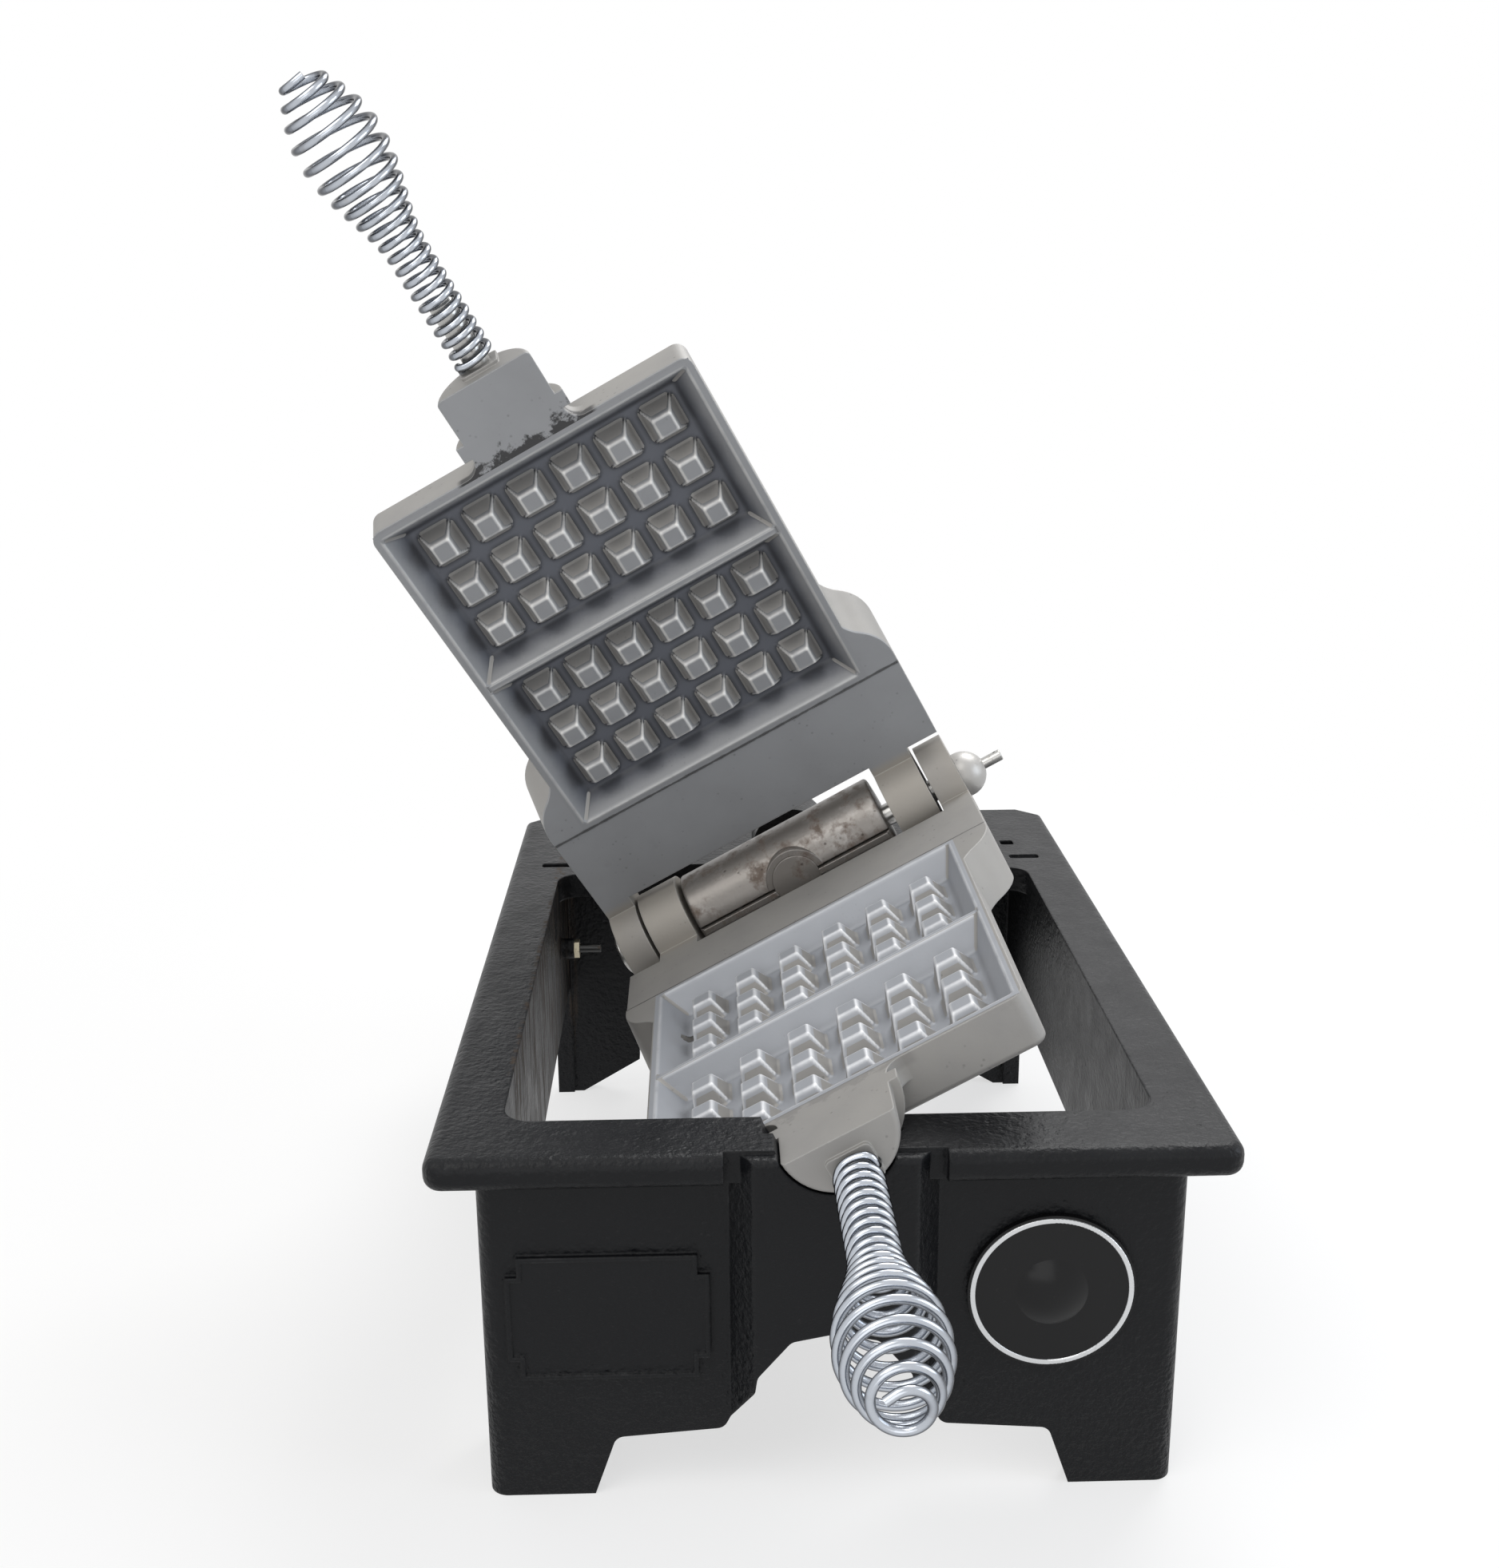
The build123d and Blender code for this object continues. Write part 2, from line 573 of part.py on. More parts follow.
with BuildPart() as plate_casting:
    # Plate, with its front corners and back edges rounded
    with BuildSketch(Plane.XY.offset(-mating_gap / 2)) as plate_outline:
        with Locations((0, -plate_front)):
            Rectangle(2 * plate_half_width, plate_front - block_end, align=(Align.CENTER, Align.MIN))
        fillet(plate_outline.vertices().group_by(Axis.Y)[0], plate_corner_radius)
    extrude(amount=mating_gap / 2 - plate_thickness)
    fillet(plate_casting.faces().sort_by(Axis.Z)[0].outer_wire().edges(), plate_back_round)
    # Hinge block, flaring out behind the plate and wider at the back face
    for depth, lean in ((mating_gap / 2, 0), (plate_thickness, flare_lean)):
        with BuildSketch(Plane.XY.offset(-depth)) as block_outline:
            with BuildLine():
                block_corner = (block_half_width, -block_end)
                curve_rear = (block_half_width, -flare_end - lean)
                curve_front = (plate_half_width - plate_back_round, -flare_start - lean)
                curve_middle = ((curve_rear[0] + curve_front[0]) / 2, (curve_rear[1] + curve_front[1]) / 2)
                Polyline((0, -block_end), block_corner, curve_rear)
                rear_arc = TangentArc(curve_rear, curve_middle, tangent=(0, -1))
                TangentArc(curve_middle, curve_front, tangent=rear_arc % 1)
                Polyline(curve_front, (0, curve_front[1]), (0, -block_end))
            make_face()
            mirror(about=Plane.YZ)
    loft(ruled=True)
    # Knuckles on the hinge axis, each on a web from the block
    for start, length in ((outer_knuckle_start, outer_knuckle_length),
                          (-outer_knuckle_start + knuckle_gap, inner_knuckle_length)):
        with BuildSketch(Plane.YZ.offset(start)) as knuckle:
            Circle(knuckle_radius)
            with Locations((0, -mating_gap / 2)):
                Rectangle(block_end + web_overlap, plate_thickness - mating_gap / 2,
                          align=(Align.MAX, Align.MAX))
        extrude(amount=length)
    # Neck: half round, with a collar that sits in the saddle's groove, and a flare at its root
    with BuildSketch() as neck_profile:
        with BuildLine():
            neck_start = -plate_front + web_overlap
            round_start = (neck_radius, -neck_end + neck_edge_round)
            round_end = (neck_radius - neck_edge_round, -neck_end)
            Polyline((0, neck_start), (neck_radius, neck_start), (neck_radius, -collar_start),
                     (collar_radius, -collar_start), (collar_radius, -collar_start - collar_length),
                     (neck_radius, -collar_start - collar_length), round_start)
            TangentArc(round_start, round_end, tangent=(0, -1))
            Polyline(round_end, (0, -neck_end), (0, neck_start))
        make_face()
    revolve(axis=Axis.Y, revolution_arc=180)
    with BuildSketch() as neck_root:
        with BuildLine():
            root_front = (neck_radius, -plate_front - neck_root_length)
            root_side = (neck_root_half_width, -plate_front)
            Polyline((0, -plate_front), root_side)
            TangentArc(root_front, root_side, tangent=(0, 1))
            Polyline(root_front, (0, -plate_front - neck_root_length), (0, -plate_front))
        make_face()
        mirror(about=Plane.YZ)
    extrude(amount=-neck_root_depth)
    # Pad that the handle stands on
    with BuildSketch(handle_plane.offset(-pad_proud)) as handle_pad:
        with Locations((0, pad_above_axis - pad_height / 2)):
            Rectangle(pad_width, pad_height)
        fillet(handle_pad.vertices(), pocket_corner_radius)
    extrude(amount=2 * pad_proud)
    # Mating face, cut clear of the other half, and the step down onto the hinge block
    with BuildSketch(Plane.XY.offset(-mating_gap / 2)) as mating_cut:
        with Locations((0, -block_end - cut_past)):
            Rectangle(4 * block_half_width, 2 * neck_end, align=(Align.CENTER, Align.MAX))
    extrude(amount=plate_thickness, mode=Mode.SUBTRACT)
    with BuildSketch(Plane.XY.offset(-block_drop)) as block_step:
        with Locations((0, -pocket_rear + rim_rear_width)):
            Rectangle(4 * block_half_width, pocket_rear - rim_rear_width - knuckle_radius,
                      align=(Align.CENTER, Align.MIN))
    extrude(amount=block_drop, mode=Mode.SUBTRACT)
    # Two pockets with sloping walls
    for bay in (-1, 1):
        bay_centre = -divider_centre + bay * (bay_length + divider_crest) / 2
        for depth, side_run, end_run in ((0, 0, 0), (pocket_depth, pocket_side_run, pocket_end_run)):
            with BuildSketch(Plane.XY.offset(-depth)) as bay_section:
                with Locations((0, bay_centre)):
                    RectangleRounded(pocket_width - 2 * side_run, bay_length - 2 * end_run,
                                     pocket_corner_radius)
        loft(ruled=True, mode=Mode.SUBTRACT)
    with BuildSketch(Plane.XY.offset(-divider_drop)) as divider_top:
        with Locations((0, -divider_centre)):
            Rectangle(pocket_width, divider_crest + 2 * divider_drop)
    extrude(amount=divider_drop, mode=Mode.SUBTRACT)
    # Cubes standing on the floors of the pockets
    for bay in (-1, 1):
        with Locations((0, -divider_centre + bay * bay_pitch / 2, 0)):
            with GridLocations(cube_pitch_across, cube_pitch_along, cube_columns, cube_rows):
                add(waffle_cube.part)
    # Two shallow panels in the back, with a rib between them
    with BuildSketch(Plane.XY.offset(-plate_thickness)) as back_panels:
        panel_width = 2 * (plate_half_width - back_recess_margin)
        panel_length = bay_length - back_recess_margin + divider_crest / 2 + rim_rear_width
        for bay in (-1, 1):
            with Locations((0, -divider_centre + bay * (panel_length + back_rib_width) / 2)):
                RectangleRounded(panel_width, panel_length, plate_corner_radius)
    extrude(amount=back_recess_depth, mode=Mode.SUBTRACT)
    # Bores for the hinge pin, the handle's stud and the end of its wire
    with BuildSketch(Plane.YZ.offset(-2 * block_half_width)) as pin_bore:
        Circle(pin_radius + running_clearance)
    extrude(amount=4 * block_half_width, mode=Mode.SUBTRACT)
    with BuildSketch(handle_plane.offset(pad_proud)) as stud_bore:
        Circle(stud_radius + seat_clearance)
    extrude(amount=-stud_engagement - loose_clearance, mode=Mode.SUBTRACT)
    with BuildSketch(handle_plane.offset(pad_proud)) as wire_bore:
        with Locations((coil_neck_radius, 0)):
            Circle(wire_diameter / 2 + seat_clearance)
    extrude(amount=-coil_leg_depth - loose_clearance, mode=Mode.SUBTRACT)


with BuildPart() as lower_casting:
    # The lower half has a vent at the foot of a side wall
    add(plate_casting)
    with BuildSketch(Plane.XY) as vent:
        with Locations((vent_inset - plate_half_width, -pocket_rear - vent_behind_rim)):
            Circle(vent_radius)
    extrude(amount=-2 * plate_thickness, mode=Mode.SUBTRACT)

with BuildPart() as upper_casting:
    # The upper half's block reaches nearer the hinge
    add(plate_casting)
    with BuildSketch(Plane.XY.offset(-block_drop)) as block_reach:
        with Locations((0, -block_end)):
            Rectangle(2 * block_half_width, upper_block_reach, align=(Align.CENTER, Align.MIN))
    extrude(amount=block_drop - plate_thickness)


# Handle: a stud in the neck, with a wire spring wound round it that swells into a bulb

with BuildPart() as handle_stud:
    with BuildSketch(handle_plane.offset(pad_proud - stud_engagement)):
        Circle(stud_radius)
    extrude(amount=stud_engagement + stud_projection)
    chamfer(handle_stud.faces().sort_by(Axis.Y)[0].edges(), stud_chamfer)


def coil_radius(reach):
    """Radius of the wire's centre line at a reach along the handle."""
    if reach > coil_close_start:
        closing = (reach - coil_close_start) / (coil_length - coil_close_start)
        return coil_end_radius + (coil_bulb_radius - coil_end_radius) * cos(pi / 2 * closing)
    share = min(max((reach - coil_widen_start) / coil_widen_length, 0), 1)
    return coil_neck_radius + (coil_bulb_radius - coil_neck_radius) * share * share * (3 - 2 * share)


def coil_pitch(reach):
    """Pitch of the turns at a reach along the handle: they open out round the bulb."""
    opening_share = exp(-((reach - coil_close_start) / coil_open_span) ** 2)
    return coil_neck_pitch + (coil_bulb_pitch - coil_neck_pitch) * opening_share


def coil_point(angle, reach):
    """Place on the wire's centre line: turned by an angle in radians about the handle's axis."""
    radius = coil_radius(reach)
    return handle_plane.from_local_coords(Vector(radius * cos(angle), radius * sin(angle), reach))


def coil_heading(angle, reach):
    """Direction of the wire there, from two places a thousandth of a turn apart."""
    step = 2 * pi / 1000
    climb = coil_pitch(reach) * coil_scale / 1000
    return (coil_point(angle + step, reach + climb) - coil_point(angle - step, reach - climb)).normalized()


def smooth_join(start, start_way, end, end_way):
    """Two arcs that leave start and reach end in the given directions."""
    span = end - start
    ways = start_way + end_way
    spread = 2 * (1 - start_way.dot(end_way))
    handle = (sqrt(span.dot(ways) ** 2 + spread * span.dot(span)) - span.dot(ways)) / spread
    start_knee = start + start_way * handle
    end_knee = end - end_way * handle
    middle = (start_knee + end_knee) * 0.5
    TangentArc(start, middle, tangent=start_way)
    TangentArc(middle, end, tangent=(end_knee - start_knee).normalized())


# The pitch is scaled so that the whole turns end exactly at the coil's length
coil_first_reach = pad_proud + coil_leg_proud + coil_bend_radius
coil_last_reach = coil_length - wire_diameter / 2
half_turns = 2 * coil_turns
steps_per_half_turn = 24
coil_scale = 1.0
for trial in range(12):
    reach = coil_first_reach
    for step in range(half_turns * steps_per_half_turn):
        reach += coil_pitch(reach) * coil_scale / (2 * steps_per_half_turn)
    coil_scale *= (coil_last_reach - coil_first_reach) / (reach - coil_first_reach)

coil_trace = []
reach = coil_first_reach
for step in range(half_turns * steps_per_half_turn + 1):
    coil_trace.append((pi / 2 + pi * step / steps_per_half_turn, reach))
    reach += coil_pitch(reach) * coil_scale / (2 * steps_per_half_turn)

with BuildPart() as handle_spring:
    with BuildLine() as spring_line:
        leg_start = handle_plane.from_local_coords(Vector(coil_neck_radius, 0, pad_proud - coil_leg_depth))
        leg_end = handle_plane.from_local_coords(Vector(coil_neck_radius, 0, pad_proud + coil_leg_proud))
        bend_end = handle_plane.from_local_coords(
            Vector(coil_neck_radius, coil_bend_radius, coil_first_reach))
        Line(leg_start, leg_end)
        TangentArc(leg_end, bend_end, tangent=handle_axis)
        wire_at = bend_end
        wire_way = handle_plane.y_dir
        for angle, reach in coil_trace[::steps_per_half_turn // 2]:
            next_at = coil_point(angle, reach)
            next_way = coil_heading(angle, reach)
            smooth_join(wire_at, wire_way, next_at, next_way)
            wire_at = next_at
            wire_way = next_way
        Line(wire_at, wire_at + wire_way * wire_diameter)
    with BuildSketch(Plane(origin=leg_start, z_dir=handle_axis)) as wire_section:
        Circle(wire_diameter / 2)
    sweep()

bend_radii = [arc.radius for arc in spring_line.edges().filter_by(GeomType.CIRCLE)]
trace_points = [coil_point(angle, reach) for angle, reach in coil_trace]
near = steps_per_half_turn
least_distance = min((trace_points[i] - trace_points[j]).length
                     for i in range(len(trace_points))
                     for j in range(i + near, min(i + 3 * near, len(trace_points))))
print("spring: least bend radius", round(min(bend_radii), 2),
      "least gap to itself", round(least_distance - wire_diameter, 2),
      "wire volume ratio", round(handle_spring.part.volume
                                 / (pi * (wire_diameter / 2) ** 2 * spring_line.wire().length), 4))

for half, seat, casting in (("lower", plate_seat_lower, lower_casting),
                            ("upper", plate_seat_upper, upper_casting)):
    place(casting, seat, f"{half}_grid")
    place(handle_stud, seat, f"{half}_handle_stud")
    place(handle_spring, seat, f"{half}_handle_spring")

# Trunnion: an upper and a lower shell clamped round the hinge pin and the stem

shell_start = shell_offset - shell_length / 2
hump_radius = stem_radius + hump_wall


screw_places = [(shell_side, screw_row)
                for shell_side in (-screw_spacing / 2, screw_spacing / 2)
                for screw_row in (-screw_from_pin, screw_from_pin)]
shells = {}
for shell_name, side in (("trunnion_cap", 1), ("trunnion_base", -1)):
    with BuildPart() as shell:
        # Half a cylinder round the pin, with a hump round the stem
        with BuildSketch(Plane.YZ.offset(shell_start)) as shell_end:
            Circle(shell_radius)
        extrude(amount=shell_length)
        fillet(shell.edges().filter_by(GeomType.CIRCLE), shell_edge_round)
        with BuildSketch(Plane.XZ) as hump:
            Circle(hump_radius)
        extrude(amount=hump_front)
        with BuildSketch(Plane.XY.offset(side * shell_split / 2)) as split_cut:
            Rectangle(2 * shell_length, 4 * shell_radius)
        extrude(amount=-side * 2 * shell_radius, mode=Mode.SUBTRACT)
        if side < 0:
            # Lip along the front of the lower shell
            with BuildSketch(Plane.XY.offset(-shell_split / 2)) as lip:
                with Locations((shell_offset, 0)):
                    Rectangle(shell_length - 2 * shell_edge_round, shell_radius + shell_lip_proud,
                              align=(Align.CENTER, Align.MAX))
            extrude(amount=-shell_lip_height)
        # Bores for the pin and the stem
        with BuildSketch(Plane.YZ.offset(shell_start - cut_past)) as pin_way:
            Circle(pin_radius + seat_clearance)
        extrude(amount=shell_length + 2 * cut_past, mode=Mode.SUBTRACT)
        with BuildSketch(Plane.XZ.offset(-2 * shell_radius)) as stem_way:
            Circle(stem_radius + seat_clearance)
        extrude(amount=4 * shell_radius, mode=Mode.SUBTRACT)
        # Screws: blind holes in the upper shell, clearance holes and sunk seats in the lower one
        if side > 0:
            with BuildSketch(Plane.XY) as cap_threads:
                with Locations(*screw_places):
                    Circle(screw_radius + seat_clearance)
            extrude(amount=screw_length - screw_seat_depth + loose_clearance, mode=Mode.SUBTRACT)
        else:
            with BuildSketch(Plane.XY.offset(-2 * shell_radius)) as base_screw_ways:
                with Locations(*screw_places):
                    Circle(screw_radius + loose_clearance)
            extrude(amount=2 * shell_radius, mode=Mode.SUBTRACT)
            with BuildSketch(Plane.XY.offset(-screw_seat_depth)) as screw_seats:
                with Locations(*screw_places):
                    Circle(screw_head_radius + loose_clearance)
            extrude(amount=-shell_radius, mode=Mode.SUBTRACT)
    shells[shell_name] = shell

with BuildPart() as trunnion_screws:
    with BuildSketch(Plane.XY.offset(-screw_seat_depth)) as screw_shanks:
        with Locations(*screw_places):
            Circle(screw_radius)
    extrude(amount=screw_length)
    with BuildSketch(Plane.XY.offset(-screw_seat_depth)) as screw_heads:
        with Locations(*screw_places):
            Circle(screw_head_radius)
    extrude(amount=-screw_head_height)

# Stem that turns in the rear bearing, with its washer and cotter

with BuildPart() as trunnion_stem:
    with BuildSketch(Plane.XZ.offset(stem_front)) as stem_section:
        Circle(stem_radius)
    extrude(amount=-(stem_front + stem_end_y - hinge_y))
    chamfer(trunnion_stem.faces().sort_by(Axis.Y)[-1].edges(), stud_chamfer)
    with BuildSketch(Plane.YZ.offset(-2 * stem_radius)) as stem_pin_way:
        Circle(pin_radius + seat_clearance)
    extrude(amount=4 * stem_radius, mode=Mode.SUBTRACT)
    with BuildSketch(Plane.XY.offset(-2 * stem_radius)) as cotter_way:
        with Locations((0, cotter_y - hinge_y)):
            Circle(cotter_radius + seat_clearance)
    extrude(amount=4 * stem_radius, mode=Mode.SUBTRACT)

with BuildPart() as stem_washer:
    with BuildSketch(Plane.XZ.offset(hinge_y - bearing_end_y - loose_clearance)):
        Circle(stem_washer_radius)
        Circle(stem_radius + loose_clearance, mode=Mode.SUBTRACT)
    extrude(amount=-stem_washer_thickness)

with BuildPart() as stem_cotter:
    cotter_eye_height = stem_radius + cotter_overhang
    with BuildSketch(Plane.XY.offset(-cotter_eye_height)) as cotter_section:
        with Locations((0, cotter_y - hinge_y)):
            Circle(cotter_radius)
    extrude(amount=2 * cotter_eye_height)
    with BuildSketch(Plane.XZ.offset(hinge_y - cotter_y)) as cotter_eye:
        with Locations((0, cotter_eye_height + cotter_eye_radius - cotter_radius / 2)):
            Circle(cotter_eye_radius)
            Circle(cotter_eye_radius - cotter_radius, mode=Mode.SUBTRACT)
    extrude(amount=cotter_radius / 2, both=True)

# Hinge pin, its washer and the ball nut on its other end

with BuildPart() as hinge_pin:
    pin_head_end = -block_half_width - loose_clearance - pin_washer_thickness
    pin_step = block_half_width + loose_clearance + ball_collar + pin_step_inside_ball
    with BuildSketch(Plane.YZ.offset(pin_head_end - pin_head_thickness)) as pin_head:
        Circle(pin_head_radius)
    extrude(amount=pin_head_thickness)
    fillet(hinge_pin.faces().sort_by(Axis.X)[0].edges(), pin_head_thickness / 3)
    with BuildSketch(Plane.YZ.offset(pin_head_end)) as pin_shank:
        Circle(pin_radius)
    extrude(amount=pin_step - pin_head_end)
    with BuildSketch(Plane.YZ.offset(pin_step)) as pin_stub:
        Circle(pin_stub_radius)
    extrude(amount=pin_stub_end - pin_step)
    chamfer(hinge_pin.faces().sort_by(Axis.X)[-1].edges(), pin_stub_radius / 8)
    with BuildSketch(Plane.XY.offset(-pin_radius)) as stub_hole:
        with Locations((pin_stub_end - pin_stub_hole_inset, 0)):
            Circle(pin_stub_hole_radius)
    extrude(amount=2 * pin_radius, mode=Mode.SUBTRACT)

with BuildPart() as hinge_pin_washer:
    with BuildSketch(Plane.YZ.offset(pin_head_end)):
        Circle(pin_washer_radius)
        Circle(pin_radius + loose_clearance, mode=Mode.SUBTRACT)
    extrude(amount=pin_washer_thickness)

with BuildPart() as hinge_ball_nut:
    with BuildSketch() as ball_profile:
        with BuildLine():
            ball_seat = block_half_width + loose_clearance
            ball_centre = ball_seat + ball_collar
            stub_reach = sqrt(ball_radius ** 2 - (pin_stub_radius + seat_clearance) ** 2)
            ball_tip = (ball_centre + stub_reach, pin_stub_radius + seat_clearance)
            TangentArc((ball_centre, ball_radius), ball_tip, tangent=(1, 0))
            Polyline(ball_tip, (pin_step + seat_clearance, pin_stub_radius + seat_clearance),
                     (pin_step + seat_clearance, pin_radius + seat_clearance),
                     (ball_seat, pin_radius + seat_clearance), (ball_seat, ball_radius),
                     (ball_centre, ball_radius))
        make_face()
    revolve(axis=Axis.X)

for piece, name in (
        (shells["trunnion_cap"], "trunnion_cap"), (shells["trunnion_base"], "trunnion_base"),
        (trunnion_screws, "trunnion_screws"),
        (trunnion_stem, "trunnion_stem"), (stem_washer, "stem_washer"), (stem_cotter, "stem_cotter"),
        (hinge_pin, "hinge_pin"), (hinge_pin_washer, "hinge_pin_washer"), (hinge_ball_nut, "hinge_ball_nut")):
    place(piece, plate_seat_lower, name)
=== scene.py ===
"""Looks of the flip-over waffle iron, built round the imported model. Metres, +X right, +Y rear, +Z up.

Laid out as an add-on: sizes and colours are properties, each group of pieces has an operator, and a
panel in the sidebar lists them. Run as a script, it builds everything in order.
"""

import json
from math import atan2, pi, radians

import bpy
import numpy as np
from bpy.props import FloatProperty, FloatVectorProperty, IntProperty, PointerProperty
from mathutils import Matrix, Vector


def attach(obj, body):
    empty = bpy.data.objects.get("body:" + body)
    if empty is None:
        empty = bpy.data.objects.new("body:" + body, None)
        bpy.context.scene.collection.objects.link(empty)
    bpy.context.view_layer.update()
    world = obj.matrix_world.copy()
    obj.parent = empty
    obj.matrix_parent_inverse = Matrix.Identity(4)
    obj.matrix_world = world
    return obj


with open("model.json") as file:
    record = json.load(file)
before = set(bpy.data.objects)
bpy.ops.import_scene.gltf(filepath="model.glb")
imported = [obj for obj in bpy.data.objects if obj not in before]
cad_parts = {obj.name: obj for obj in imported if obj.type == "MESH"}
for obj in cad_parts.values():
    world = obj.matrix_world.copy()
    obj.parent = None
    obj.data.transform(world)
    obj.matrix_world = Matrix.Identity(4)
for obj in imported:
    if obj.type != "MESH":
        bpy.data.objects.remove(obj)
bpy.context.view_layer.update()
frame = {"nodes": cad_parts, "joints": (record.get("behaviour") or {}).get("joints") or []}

bl_info = {
    "name": "Flip-over waffle iron",
    "version": (1, 0, 0),
    "blender": (4, 5, 0),
    "location": "3D View > Sidebar > Waffle iron",
    "description": "Finishes, waffle faces and stage for a flip-over waffle iron",
    "category": "Object",
}

MM = 0.001
FACE_LABELS = ("rise", "crest", "foot")

# The iron's own frame: hinge axis X, roll axis Y, mating plane Z = 0, as the joints give it at rest
JOINTS = {joint["name"]: joint for joint in frame["joints"]}
HINGE_POINT = Vector(JOINTS["roll"]["pos_m"])
HINGE_AXIS = Vector(JOINTS["upper_opening"]["axis"])
REST_ROLL = atan2(-HINGE_AXIS.z, -HINGE_AXIS.x)
REST_OPENING = radians(-JOINTS["upper_opening"]["range_deg"][0])
LOWER_SEAT = Matrix.Translation(HINGE_POINT) @ Matrix.Rotation(-REST_ROLL, 4, "Y")
UPPER_SEAT = LOWER_SEAT @ Matrix.Rotation(-REST_OPENING, 4, "X") @ Matrix.Rotation(pi, 4, "Y")


# Properties

def length(name, description, default):
    """A length property in metres."""
    return FloatProperty(name=name, description=description, default=default, unit="LENGTH", precision=5)


def share(name, description, default):
    """A property from 0 to 1."""
    return FloatProperty(name=name, description=description, default=default, min=0, max=1, subtype="FACTOR")


def power(name, description, default):
    """A lamp's power in watts."""
    return FloatProperty(name=name, description=description, default=default, unit="POWER")


def colour(name, description, default):
    """A linear RGB colour property."""
    return FloatVectorProperty(name=name, description=description, default=default, size=3,
                               min=0, max=1, subtype="COLOR")


class WaffleGridSizes(bpy.types.PropertyGroup):
    """Sizes of the waffle grid, as the castings have them."""
    half_width: length("Pocket half width", "Half the pocket's width at the rim", 86 * MM)
    rear: length("Pocket rear", "From the hinge axis to the pocket's rear edge", 91 * MM)
    front: length("Pocket front", "From the hinge axis to the pocket's front edge", 290.4 * MM)
    depth: length("Pocket depth", "Depth of the floor below the mating plane", 15 * MM)
    side_run: length("Side wall run", "How far a side wall slopes in", 9 * MM)
    end_run: length("End wall run", "How far an end wall slopes in", 8.5 * MM)
    divider_crest: length("Divider crest", "Width of the divider's crest", 2.4 * MM)
    divider_drop: length("Divider drop", "How far the crest lies below the rim", 0.8 * MM)
    divider_gap: length("Divider gap", "Clear floor between the two bays' cube fields", 19 * MM)
    pitch_across: length("Cube pitch across", "Pitch of the cubes along the hinge", 25.4 * MM)
    pitch_along: length("Cube pitch along", "Pitch of the cubes along the roll axis", 27 * MM)
    base_across: length("Cube base across", "Width of a cube at its foot", 18.5 * MM)
    base_along: length("Cube base along", "Length of a cube at its foot", 20 * MM)
    # The dark band round each cube's foot is soot and painted shade.
    foot_corner: length("Cube foot corner", "Corner radius of the soot line round a cube's foot", 4.5 * MM)
    cube_top: length("Cube top", "Side of a cube's flat top", 10.2 * MM)
    top_drop: length("Cube drop", "How far a cube's top lies below the mating plane", 3.9 * MM)
    columns: IntProperty(name="Columns", description="Cubes along the hinge", default=6)
    rows: IntProperty(name="Rows", description="Rows of cubes in each pocket", default=3)
    # Reach of the soot and painted shade round each cube's foot.
    soot_and_shade_width: length("Soot width", "Reach of the soot on either side of a cube's foot", 2.7 * MM)
    edge_round: length("Edge softness", "Softness of the cast edges", 0.75 * MM)
    foot_round: length("Foot softness", "Softness of the inner corners", 2.2 * MM)
    proud: length("Skin proud", "How far the grid's skin stands off the casting", 0.15 * MM)
    vent_across: length("Vent across", "Distance of the lower half's vent from the roll axis", -76 * MM)
    vent_along: length("Vent along", "Distance of the lower half's vent from the hinge axis", -130 * MM)
    vent_radius: length("Vent radius", "Radius of the vent", 4 * MM)
    steps_across: IntProperty(name="Steps across", description="Mesh steps to a cube's pitch across",
                              default=36)
    steps_along: IntProperty(name="Steps along", description="Mesh steps to a cube's pitch along",
                             default=38)


